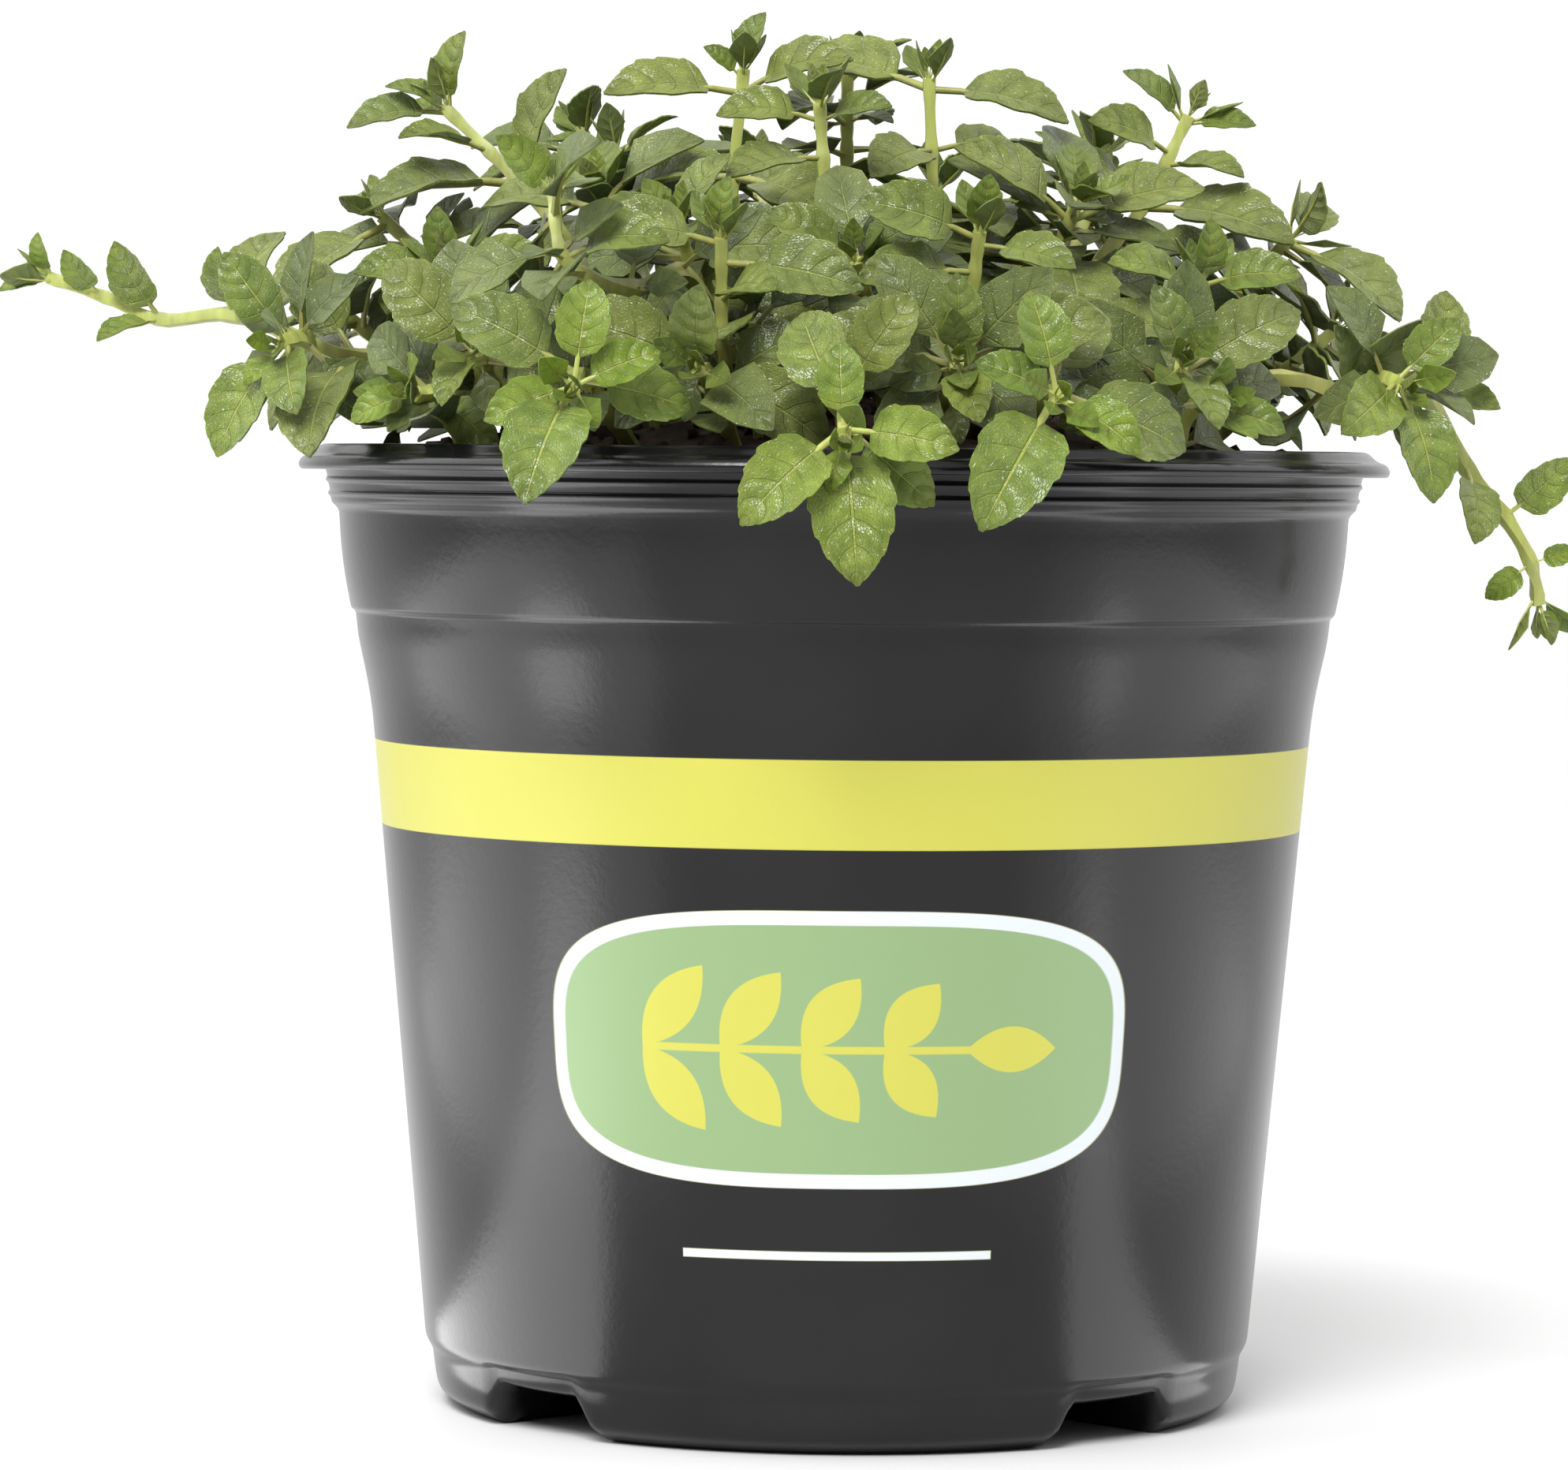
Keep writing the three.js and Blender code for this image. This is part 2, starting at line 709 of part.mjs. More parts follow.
// Grows every leaf where it is clear of all else: the aimed ones first, and then from the tips down.
function growLeaves(all, random) {
  const space = makeSpace();
  for (const stem of all) {
    const points = [];
    for (let i = 0; i <= STEM_SAMPLES; i += 1) {
      points.push({ point: vec(pointOn(stem.path, i / STEM_SAMPLES)), free: true });
    }
    space.add(points, stem.node);
    stem.leaves = [];
  }
  const plans = all.flatMap((stem) => leafPlans(stem, random).map((plan) => ({ ...plan, stem })));
  plans.sort((one, other) => one.rank - other.rank);
  for (const plan of plans) {
    for (const [morePitch, moreTurn, size] of swings) {
      const leaf = makeLeaf(plan.stem, plan, morePitch, moreTurn, size);
      const samples = leafSamples(leaf);
      if (samples.every(clearOfPot) && space.clear(samples, plan.stem.node)) {
        space.add(samples, plan.stem.node);
        plan.stem.leaves.push(leaf);
        break;
      }
    }
  }
}

// A solid from shared corners and triangles.
function solidFrom(corners, triangles) {
  return new wasm.Manifold(
    new wasm.Mesh({
      numProp: 3,
      vertProperties: new Float32Array(corners.flatMap((p) => [p.x, p.y, p.z])),
      triVerts: new Uint32Array(triangles.flat()),
    }),
  );
}

function solidOf(geometry) {
  const bare = geometry.clone().deleteAttribute("normal").deleteAttribute("uv");
  const merged = mergeVertices(bare, 1e-4);
  return new wasm.Manifold(
    new wasm.Mesh({
      numProp: 3,
      vertProperties: merged.attributes.position.array,
      triVerts: new Uint32Array(merged.index.array),
    }),
  );
}

function geometryOf(solid) {
  const made = solid.getMesh();
  const geometry = new THREE.BufferGeometry();
  geometry.setAttribute("position", new THREE.BufferAttribute(made.vertProperties, 3));
  geometry.setIndex(new THREE.BufferAttribute(made.triVerts, 1));
  const flat = geometry.toNonIndexed();
  flat.computeVertexNormals();
  return flat;
}

// Triangles between a blade's side and its rib, which meet at the tip: each takes the next step in turn.
function zipped(side, sideReach, rib, ribReach, turnOver) {
  const triangles = [];
  let i = 0;
  let j = 0;
  while (i < side.length - 1 || j < rib.length - 1) {
    const stepSide = j === rib.length - 1 || (i < side.length - 1 && sideReach[i + 1] <= ribReach[j + 1]);
    const next = stepSide ? side[i + 1] : rib[j + 1];
    const corners = turnOver ? [side[i], rib[j], next] : [rib[j], side[i], next];
    if (new Set(corners).size === 3) triangles.push(corners);
    if (stepSide) i += 1;
    else j += 1;
  }
  return triangles;
}

// One closed leaf: a three-sided stalk and a blade, thick along its rib, sharp at its edge and split alike
// on both faces.
function leafSolid(leaf) {
  const half = BLADE_HALF * leaf.length;
  const edge = leaf.length < SMALL_LEAF ? smallEdge : leaf.length < LARGE_LEAF ? middleEdge : fullEdge;
  const end = leaf.stalk + leaf.length;
  const blade = edge.map(([share, width]) => [leaf.stalk + share * leaf.length, width * half]);
  const outline = [[0, STALK], [leaf.stalk, STALK], ...blade];
  const ribReach = [0, leaf.stalk, leaf.stalk + 0.5 * leaf.length, end];
  const reach = [...outline.map(([s]) => s), end];
  const corners = [];
  const place = (s, x, h) => corners.push(leafPoint(leaf, s, x, h)) - 1;
  const tip = place(end, 0, 0);
  const left = outline.map(([s, x]) => place(s, -x, 0)).concat(tip);
  const right = outline.map(([s, x]) => place(s, x, 0)).concat(tip);
  const under = ribReach.slice(0, -1).map((s) => place(s, 0, -RIB)).concat(tip);
  const top = ribReach.slice(1, -1).map((s) => place(s, 0, RIB)).concat(tip);
  const triangles = [
    [left[0], under[0], right[0]],
    [left[0], right[0], right[1]],
    [left[0], right[1], left[1]],
    [left[1], right[1], top[0]],
    ...zipped(right.slice(1), reach.slice(1), top, ribReach.slice(1), false),
    ...zipped(left.slice(1), reach.slice(1), top, ribReach.slice(1), true),
    ...zipped(right, reach, under, ribReach, true),
    ...zipped(left, reach, under, ribReach, false),
  ];
  return solidFrom(corners, triangles);
}

// A square stem that thins towards its tip.
function stemSolid(stem) {
  const rings = (stem.path.length > FEW_BENDS ? 1 : 2) * (stem.path.length - 1);
  const corners = [];
  const triangles = [];
  for (let i = 0; i <= rings; i += 1) {
    const t = i / rings;
    const middle = vec(pointOn(stem.path, t));
    const [u, v] = sidesOf(directionOn(stem.path, t));
    const half = STEM_BASE + (STEM_TIP - STEM_BASE) * t;
    for (const [a, b] of [[1, 1], [-1, 1], [-1, -1], [1, -1]]) {
      corners.push(middle.clone().addScaledVector(u, a * half).addScaledVector(v, b * half));
    }
  }
  for (let i = 0; i < rings; i += 1) {
    for (let j = 0; j < 4; j += 1) {
      const a = 4 * i + j;
      const b = 4 * i + ((j + 1) % 4);
      triangles.push([a, b, b + 4], [a, b + 4, a + 4]);
    }
  }
  const end = 4 * rings;
  triangles.push([0, 2, 1], [0, 3, 2], [end, end + 1, end + 2], [end, end + 2, end + 3]);
  return solidFrom(corners, triangles);
}

// The hole that a stem stands in: a plain square shaft, a gap wider than the stem, down past its foot.
function stemHole(stem) {
  const foot = vec(stem.path[0]);
  const up = directionOn(stem.path, FOOT_SHARE);
  const width = 2 * (STEM_BASE + FIT_GAP);
  const shaft = new THREE.BoxGeometry(width, width, SHAFT_DEPTH + FIT_GAP);
  const [u, v] = sidesOf(up);
  const turn = new THREE.Matrix4().makeBasis(u, v, up);
  const middle = foot.addScaledVector(up, (SHAFT_DEPTH - FIT_GAP) / 2);
  shaft.applyMatrix4(turn.setPosition(middle));
  return solidOf(shaft);
}

function turned(profile) {
  const points = profile.map(([r, z]) => new THREE.Vector2(r, z));
  return solidOf(new THREE.LatheGeometry(points, POT_SIDES).rotateX(Math.PI / 2));
}

const pocketAngles = Array.from({ length: POCKETS }, (_, i) => ((i + 0.5) * 2 * Math.PI) / POCKETS);

// The drain pockets as solids to cut away, each side grown by the given amount.
function pocketSolids(grow) {
  const outline = new THREE.Shape([
    new THREE.Vector2(-POCKET_FOOT - grow, -CUT_PAST),
    new THREE.Vector2(POCKET_FOOT + grow, -CUT_PAST),
    new THREE.Vector2(POCKET_TOP + grow, POCKET_HEIGHT + grow),
    new THREE.Vector2(-POCKET_TOP - grow, POCKET_HEIGHT + grow),
  ]);
  const from = POCKET_INNER - grow;
  const bar = new THREE.ExtrudeGeometry(outline, { depth: POCKET_OUTER - from, bevelEnabled: false });
  bar.rotateX(Math.PI / 2).rotateZ(Math.PI).translate(0, from, 0);
  return pocketAngles.map((angle) => solidOf(bar.clone().rotateZ(angle)));
}

const cutAll = (solid, tools) => tools.reduce((left, tool) => left.subtract(tool), solid);

function drainHoles() {
  const pin = new THREE.CylinderGeometry(DRAIN_RADIUS, DRAIN_RADIUS, DRAIN_CUT, DRAIN_SIDES);
  pin.rotateX(Math.PI / 2).translate(DRAIN_FROM_AXIS, 0, 0);
  return pocketAngles.map((angle) => solidOf(pin.clone().rotateZ(angle)));
}

function potSolid() {
  const body = cutAll(turned([...outside, [0, CROWN_Z]]), pocketSolids(0));
  const mouthZ = CROWN_Z + CUT_PAST;
  const room = turned([...inside.toReversed(), [inside[0][0] + RIM_FLARE, mouthZ], [0, mouthZ]]);
  const cavity = cutAll(room, pocketSolids(BASE_THICKNESS));
  return cutAll(body.subtract(cavity), drainHoles());
}

// Fits the pot with a gap all round, over its drain pockets too, and has a lumpy mound with a hole for
// each stem.
function soilSolid(all) {
  const wall = inside.filter(([, z]) => z < SOIL_EDGE_Z).toReversed();
  const fitted = wall.map(([r, z]) => [Math.max(0, r - FIT_GAP), z === BASE_THICKNESS ? z + FIT_GAP : z]);
  const rings = Array.from({ length: SOIL_RINGS + 1 }, (_, i) => SOIL_RADIUS * (1 - i / SOIL_RINGS));
  const mound = rings.map((r) => [r, soilHeight(r, 0)]);
  const points = [...fitted, ...mound].map(([r, z]) => new THREE.Vector2(r, z));
  const shape = new THREE.LatheGeometry(points, SOIL_SIDES).rotateX(Math.PI / 2);
  const place = shape.getAttribute("position");
  for (let i = 0; i < place.count; i += 1) {
    const [x, y, z] = [place.getX(i), place.getY(i), place.getZ(i)];
    const lump = SOIL_LUMP * Math.sin(SOIL_WAVE * x) * Math.cos(SOIL_WAVE * y);
    if (z > SOIL_EDGE_Z + FIT_GAP) place.setZ(i, z + lump);
  }
  const holes = all.filter((stem) => !stem.fusedTo).map(stemHole);
  return cutAll(solidOf(shape), [...pocketSolids(BASE_THICKNESS + FIT_GAP), ...holes]);
}

const blackPlastic = new THREE.MeshStandardMaterial({ color: 0x1c1c1e, roughness: 0.32, metalness: 0 });
const darkSoil = new THREE.MeshStandardMaterial({ color: 0x2b1e16, roughness: 1, metalness: 0 });
const mintGreen = new THREE.MeshStandardMaterial({ color: 0x6f9440, roughness: 0.5, metalness: 0 });

function piece(name, solid, material) {
  const mesh = new THREE.Mesh(geometryOf(solid), material);
  mesh.name = name;
  return mesh;
}

const random = randomStream(SEED);
const all = allStems(random);
growLeaves(all, random);

const plant = new THREE.Group();
plant.add(piece("pot", potSolid(), blackPlastic));
plant.add(piece("soil", soilSolid(all), darkSoil));

for (const main of all.filter((stem) => !stem.fusedTo)) {
  const members = all.filter((stem) => stem.node === main.name);
  const solids = members.flatMap((stem) => [stemSolid(stem), ...stem.leaves.map(leafSolid)]);
  const whole = solids.reduce((joined, solid) => joined.add(solid));
  plant.add(piece(`mint_${main.name}`, whole, mintGreen));
}

export default plant;
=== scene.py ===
# %% [markdown]
# # A young mint plant in a black nursery pot
# The plant is about forty leafy shoots that stand close together in a thin plastic pot. Its construction is
# already there as a fixed frame: one plain solid for the pot, one for the soil and one for each shoot. This
# lesson makes the surface that the eye sees, and each new piece stands exactly where its solid stands.
# Everything is in metres, but the plant and the pot are easier to think of in millimetres, so their sizes
# are written in millimetres and are multiplied by MM at the end.

# %% Load the frame
import json
import math
from types import SimpleNamespace

import bpy
import numpy as np
from mathutils import Euler, Matrix, Vector
from mathutils.noise import fractal

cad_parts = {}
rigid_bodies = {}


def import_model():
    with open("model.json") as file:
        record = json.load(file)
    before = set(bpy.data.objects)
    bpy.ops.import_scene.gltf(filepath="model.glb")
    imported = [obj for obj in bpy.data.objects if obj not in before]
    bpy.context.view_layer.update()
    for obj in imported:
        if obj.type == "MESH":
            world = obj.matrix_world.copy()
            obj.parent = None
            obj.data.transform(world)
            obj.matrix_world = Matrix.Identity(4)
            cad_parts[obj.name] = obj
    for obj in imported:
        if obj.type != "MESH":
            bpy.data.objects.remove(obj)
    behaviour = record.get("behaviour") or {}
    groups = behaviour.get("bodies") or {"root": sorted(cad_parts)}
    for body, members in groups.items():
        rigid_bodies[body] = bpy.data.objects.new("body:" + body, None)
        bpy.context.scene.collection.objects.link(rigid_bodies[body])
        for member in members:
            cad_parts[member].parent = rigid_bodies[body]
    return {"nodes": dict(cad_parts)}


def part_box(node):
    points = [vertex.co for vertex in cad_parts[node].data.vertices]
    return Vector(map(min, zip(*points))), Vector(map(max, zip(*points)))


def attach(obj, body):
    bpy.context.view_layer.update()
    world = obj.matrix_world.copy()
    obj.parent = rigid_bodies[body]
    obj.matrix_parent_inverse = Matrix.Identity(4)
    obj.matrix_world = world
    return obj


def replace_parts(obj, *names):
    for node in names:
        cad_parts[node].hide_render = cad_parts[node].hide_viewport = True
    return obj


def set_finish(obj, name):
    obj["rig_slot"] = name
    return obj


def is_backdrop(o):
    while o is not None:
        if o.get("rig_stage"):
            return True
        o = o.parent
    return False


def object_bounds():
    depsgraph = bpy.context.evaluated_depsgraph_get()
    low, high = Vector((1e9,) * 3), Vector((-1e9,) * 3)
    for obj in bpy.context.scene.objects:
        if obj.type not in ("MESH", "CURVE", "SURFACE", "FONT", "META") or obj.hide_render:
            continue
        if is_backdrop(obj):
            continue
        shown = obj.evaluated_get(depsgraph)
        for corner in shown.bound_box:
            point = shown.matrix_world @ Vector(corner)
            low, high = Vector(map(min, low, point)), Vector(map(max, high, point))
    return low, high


MM = 0.001
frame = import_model()
cad_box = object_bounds()
print("nodes in the frame:", len(frame["nodes"]))

# %% [markdown]
# ## The camera
# The photograph was taken from straight in front with a long lens, level with the rim, and the horizon lies
# far above the middle of the picture. A lens can be shifted to do that, or the camera can be turned. The
# camera is turned here, because a shift would stay in every other view. Where the pot's axis crosses the
# horizon is read from the picture, and the turn follows from it and from the lens.

# %% Camera
PICTURE = (1988, 1864)  # pixels
AXIS_PIXEL = (1070, 590)  # where the pot's axis crosses the horizon
FOCAL_PIXELS = 8450
SENSOR = 36  # millimetres wide
CAMERA_AWAY = 735 * MM
CAMERA_HEIGHT = 103.4 * MM
ROLL = math.radians(0.5)

right = AXIS_PIXEL[0] - PICTURE[0] / 2
down = AXIS_PIXEL[1] - PICTURE[1] / 2
right, down = (
    right * math.cos(ROLL) + down * math.sin(ROLL),
    down * math.cos(ROLL) - right * math.sin(ROLL),
)
turn = math.atan2(right, FOCAL_PIXELS)
tilt = math.atan2(down, FOCAL_PIXELS)

camera_data = bpy.data.cameras.new("camera")
camera_data.sensor_width = SENSOR
camera_data.lens = FOCAL_PIXELS * SENSOR / PICTURE[0]
camera_data.clip_end = 100
camera = bpy.data.objects.new("camera", camera_data)
bpy.context.scene.collection.objects.link(camera)
aim = Euler((math.pi / 2 + tilt, 0, turn)).to_matrix() @ Matrix.Rotation(ROLL, 3, "Z")
camera.matrix_world = Matrix.Translation((0, -CAMERA_AWAY, CAMERA_HEIGHT)) @ aim.to_4x4()
bpy.context.scene.camera = camera
print("lens", round(camera_data.lens, 1), "mm, turned", round(math.degrees(turn), 2), "degrees")

# %% [markdown]
# ## Small helpers for shader nodes
# Every finish here is a node tree. Writing node trees in code is easier with a few short helpers: one adds
# a node and sets its inputs, one does a sum, and one mixes two colours. A socket knows the tree that it
# belongs to, so most helpers find the tree by themselves. Colours are written as they look on a screen,
# from 0 to 255, and are turned into the linear light that the renderer works in.


# %% Shader helpers
def screen_colour(red, green, blue):
    linear = [((c / 255 + 0.055) / 1.055) ** 2.4 if c > 10 else c / 255 / 12.92 for c in (red, green, blue)]
    return (*linear, 1)


def feed(socket, value):
    """Links a socket to a value that other nodes make, or writes a plain value into it."""
    if isinstance(value, bpy.types.NodeSocket):
        socket.id_data.links.new(value, socket)
    else:
        socket.default_value = value


def node(tree, kind, inputs=(), **settings):
    made = tree.nodes.new(kind)
    for name, value in settings.items():
        setattr(made, name, value)
    for name, value in dict(inputs).items():
        feed(made.inputs[name], value)
    return made


def tree_of(values):
    return next(value for value in values if isinstance(value, bpy.types.NodeSocket)).id_data


def calc(operation, *values):
    made = node(tree_of(values), "ShaderNodeMath", operation=operation)
    for socket, value in zip(made.inputs, values):
        feed(socket, value)
    return made.outputs[0]


def product(a, b):
    return calc("MULTIPLY", a, b)


def difference(a, b):
    """How far two values are apart, never below 0."""
    return calc("ABSOLUTE", calc("SUBTRACT", a, b))


def ramp(value, low, high):
    """0 where value is low, 1 where it is high, and a straight line between."""
    inputs = {"Value": value, "From Min": low, "From Max": high}
    return node(value.id_data, "ShaderNodeMapRange", inputs).outputs["Result"]


def mixed(factor, colour, other):
    made = node(tree_of((factor, colour, other)), "ShaderNodeMix", data_type="RGBA")
    feed(made.inputs["Factor"], factor)
    for socket, value in zip([s for s in made.inputs if s.type == "RGBA"], (colour, other)):
        feed(socket, value)
    return next(s for s in made.outputs if s.type == "RGBA")


def noise(place, scale, detail=2.0, roughness=0.5):
    inputs = {"Vector": place, "Scale": scale, "Detail": detail, "Roughness": roughness}
    return node(place.id_data, "ShaderNodeTexNoise", inputs).outputs["Fac"]


def stretched(place, x, y, z):
    """The same place, with each of its directions stretched by a number."""
    inputs = {0: place, 1: (x, y, z)}
    return node(place.id_data, "ShaderNodeVectorMath", inputs, operation="MULTIPLY").outputs[0]


def bump(height, distance, under=None):
    """Bends the light as if the surface rose by the height. Another bump can lie under it."""
    made = node(height.id_data, "ShaderNodeBump", {"Height": height, "Distance": distance, "Strength": 1.0})
    if under:
        feed(made.inputs["Normal"], under)
    return made.outputs["Normal"]


def new_material(name, **sockets):
    """A material, its node tree, its shader, and the object coordinates that patterns read."""
    material = bpy.data.materials.new(name)
    material.use_nodes = True
    tree = material.node_tree
    shader = next(n for n in tree.nodes if n.type == "BSDF_PRINCIPLED")
    for socket, value in sockets.items():
        shader.inputs[socket.replace("_", " ")].default_value = value
    return material, tree, shader, tree.nodes.new("ShaderNodeTexCoord").outputs["Object"]


print("half grey on a screen is", round(screen_colour(128, 128, 128)[0], 3), "in linear light")

# %% [markdown]
# ## Small helpers for meshes
# An operator works on the objects that are selected, so the selection is set before each one. The corners
# of a mesh are read and written all at once, as an array with a row for each corner.


# %% Mesh helpers
def deselect_all():
    for thing in bpy.context.selected_objects:
        thing.select_set(False)


def only(thing):
    """Makes one object the only one that an operator works on."""
    deselect_all()
    thing.select_set(True)
    bpy.context.view_layer.objects.active = thing


def coordinates(thing):
    found = np.empty(3 * len(thing.data.vertices))
    thing.data.vertices.foreach_get("co", found)
    return found.reshape(-1, 3)


def set_coordinates(thing, places):
    thing.data.vertices.foreach_set("co", np.asarray(places, float).ravel())
    thing.data.update()


def smooth_step(x):
    x = np.clip(x, 0, 1)
    return x * x * (3 - 2 * x)

# %% [markdown]
# ## The pot
# The real pot is one sheet of black plastic, blown or sucked into a mould. So it has one thin wall, soft
# corners, a rolled rim that makes its mouth stiff, and steps where a stack of pots rests one in another. A
# shape that is the same all round its axis is spun: its outline is drawn once as a chain of edges, by
# extruding one corner after another, and the spin operator sweeps it round. A line of the outline has a
# radius, a height, and how round its corner is, all in millimetres.

# %% The outline of the pot
RIM_RADIUS = 60
CROWN_Z = 105.3
FLANGE_Z = 102.6
BASE_THICKNESS = 1.2
SPIN_STEPS = 288
WALL_FOOT, WALL_TOP = (45.4, 7.3), (51.8, 77.5)  # radius and height at the ends of the long taper
MOST_CUT = 0.48  # how much of an edge a rounded corner may use up

outside = [
    (41.6, 0, 1.2),
    (43.9, 1.6, 1.2),
    (44.25, 3.2, 0),
    (44.45, 4.6, 0),
    (44.6, 6, 0.6),
    (*WALL_FOOT, 0.8),
    (*WALL_TOP, 9),
    (53.3, 84.3, 3),
    (53.6, 87, 0.25),
    (54.1, 87.4, 0.3),
    (54.82, 91, 3),
    (55.28, 94.6, 3),
    (55.5, 98.2, 1),
    (56.3, 98.9, 0.5),
    (56.4, 99.5, 0.15),
    (56.75, 99.9, 0.15),
    (56.5, 100.3, 0.15),
    (56.65, 101, 0.15),
    (57, 101.4, 0.15),
    (56.8, 101.8, 0.15),
    (57, FLANGE_Z, 0.2),
    (59.7, FLANGE_Z - 0.1, 0.4),
    (RIM_RADIUS, 103.1, 0.3),
    (59.6, 103.9, 0.5),
    (58.6, 104.2, 0.7),
    (57.4, CROWN_Z, 0.6),
    (56.3, CROWN_Z, 0.6),
]
inside = [
    (55.8, 104.2, 0.5),
    (55.4, 99.8, 0.6),
    (54.5, 98, 0.8),
    (52.7, 86.8, 0.5),
    (50.7, 77.4, 6),
    (44.2, 7, 1),
    (43.2, 4, 0),
    (42.4, BASE_THICKNESS, 0.8),
]
FLOOR_RADII = (38, 34, 31, 29.5, 28.5, 27.5, 26.5, 20, 12, 0)


def rounded(corners, steps=4):
    """The same outline, with each corner cut back and bridged by a short curve."""
    places = []
    for i, (r, z, roundness) in enumerate(corners):
        here = np.array((r, z), float)
        if roundness == 0 or i in (0, len(corners) - 1):
            places.append(here)
            continue
        before = np.array(corners[i - 1][:2]) - here
        after = np.array(corners[i + 1][:2]) - here
        reach = min(roundness, MOST_CUT * np.linalg.norm(before), MOST_CUT * np.linalg.norm(after))
        start = here + before / np.linalg.norm(before) * reach
        end = here + after / np.linalg.norm(after) * reach
        for t in np.linspace(0, 1, steps + 1):
            places.append((1 - t) ** 2 * start + 2 * t * (1 - t) * here + t * t * end)
    return places


floor_below = [(r, 0, 0) for r in reversed(FLOOR_RADII)]
floor_above = [(r, BASE_THICKNESS, 0) for r in FLOOR_RADII]
pot_outline = rounded(floor_below + outside + inside + floor_above)
print("corners in the pot's outline:", len(pot_outline))


# %% Spin it
def spun(name, outline, steps):
    """A closed shape swept round the Z axis from a chain of (radius, height) in millimetres."""
    deselect_all()
    bpy.ops.mesh.primitive_plane_add(size=MM)
    made = bpy.context.object
    made.name = made.data.name = name
    bpy.ops.object.mode_set(mode="EDIT")
    bpy.ops.mesh.merge(type="CENTER")
    r, z = outline[0]
    bpy.ops.transform.translate(value=(r * MM, 0, z * MM))
    for (r, z), (next_r, next_z) in zip(outline, outline[1:]):
        move = ((next_r - r) * MM, 0, (next_z - z) * MM)
        bpy.ops.mesh.extrude_region_move(TRANSFORM_OT_translate={"value": move})
    bpy.ops.mesh.select_all(action="SELECT")
    bpy.ops.mesh.spin(steps=steps, angle=2 * math.pi, center=(0, 0, 0), axis=(0, 0, 1))
    bpy.ops.mesh.select_all(action="SELECT")
    bpy.ops.mesh.remove_doubles(threshold=0.001 * MM)
    bpy.ops.mesh.normals_make_consistent(inside=False)
    bpy.ops.object.mode_set(mode="OBJECT")
    return made


pot = spun("nursery_pot", pot_outline, SPIN_STEPS)
print("faces in the spun pot:", len(pot.data.polygons))

# %% [markdown]
# ## The drain pockets
# At four places the mould presses the base up into a pocket, so that water can run out from under the pot.
# Cutting a box away would leave sharp, thin edges. A moulded wall bends instead, and so does this one: the
# corners of the mesh that lie in a pocket are lifted, fully under its ceiling and less and less up its
# sloped sides and up the wall above it. The inside of the wall is lifted with the outside.

# %% Press the pockets in
POCKETS = 4
POCKET_HEIGHT = 4.3
POCKET_FOOT = 8.6  # half width at the ground
POCKET_TOP = 6  # half width at its ceiling
POCKET_INNER = 28  # where it starts, from the axis
POCKET_EASE = 1.4  # how softly its inner end slopes
WALL_ABOVE = 7.2  # height at which the wall is as it was
POCKET_TURN = math.radians(-2)  # the pot stands turned a little
POCKET_ANGLES = [(i + 0.5) * 2 * math.pi / POCKETS + POCKET_TURN for i in range(POCKETS)]
IN_WALL = 0.5  # a depth between the outside and the inside of the wall


def pocket_lift(x, y, lift_past=0.0):
    """How far a place on the base is lifted, in millimetres."""
    lift = np.zeros_like(x)
    for angle in POCKET_ANGLES:
        along = x * math.cos(angle) + y * math.sin(angle)
        across = np.abs(y * math.cos(angle) - x * math.sin(angle))
        sides = smooth_step((POCKET_FOOT + lift_past - across) / (POCKET_FOOT - POCKET_TOP))
        end = smooth_step((along - POCKET_INNER + POCKET_EASE + lift_past) / POCKET_EASE)
        lift = np.maximum(lift, POCKET_HEIGHT * sides * end)
    return lift


wall = np.array([(z, r) for r, z in rounded(outside)])
x, y, z = coordinates(pot).T / MM
is_inner = (z > IN_WALL) & (np.hypot(x, y) < np.interp(z, wall[:, 0], wall[:, 1]) - IN_WALL)
rest_z = np.where(is_inner, z - BASE_THICKNESS, z)
lift = np.where(is_inner, pocket_lift(x, y, BASE_THICKNESS), pocket_lift(x, y))
lifted = z + lift * np.clip(1 - rest_z / WALL_ABOVE, 0, 1)
set_coordinates(pot, np.stack([x, y, np.where(z < WALL_ABOVE, lifted, z)], 1) * MM)
print("corners lifted for the pockets:", int((lift > 0).sum()))

# %% [markdown]
# Each pocket has a round drain hole in its ceiling. A hole right through a wall is the work of a Boolean: a
# pin is put where the hole will be, and the modifier takes it away from the pot.

# %% Cut the drain holes
DRAIN_RADIUS = 3
DRAIN_FROM_AXIS = 36

deselect_all()
pins = []
for angle in POCKET_ANGLES:
    spot = (DRAIN_FROM_AXIS * math.cos(angle) * MM, DRAIN_FROM_AXIS * math.sin(angle) * MM, 0)
    bpy.ops.mesh.primitive_cylinder_add(vertices=24, radius=DRAIN_RADIUS * MM, depth=20 * MM, location=spot)
    pins.append(bpy.context.object)
for pin in pins:
    pin.select_set(True)
bpy.ops.object.join()
pin = bpy.context.object
only(pot)
cut = pot.modifiers.new("drain", "BOOLEAN")
cut.operation = "DIFFERENCE"
cut.object = pin
cut.solver = "EXACT"
bpy.ops.object.modifier_apply(modifier=cut.name)
bpy.data.objects.remove(pin)
bpy.ops.object.shade_smooth_by_angle(angle=math.radians(38))
print("faces in the pot:", len(pot.data.polygons))

# %% [markdown]
# ## Black plastic and its print
# The plastic is a little glossy, with a fine orange peel from the mould that breaks up its highlights. The
# band and the panel are ink: they change the colour and the gloss, and have no thickness. A print that goes
# round a pot is laid out flat, as the printer does. Its two directions are the height, and the distance
# round the wall, which is the angle from the front times the radius. A plain panel with a sprig of leaves
# takes the place of a label.

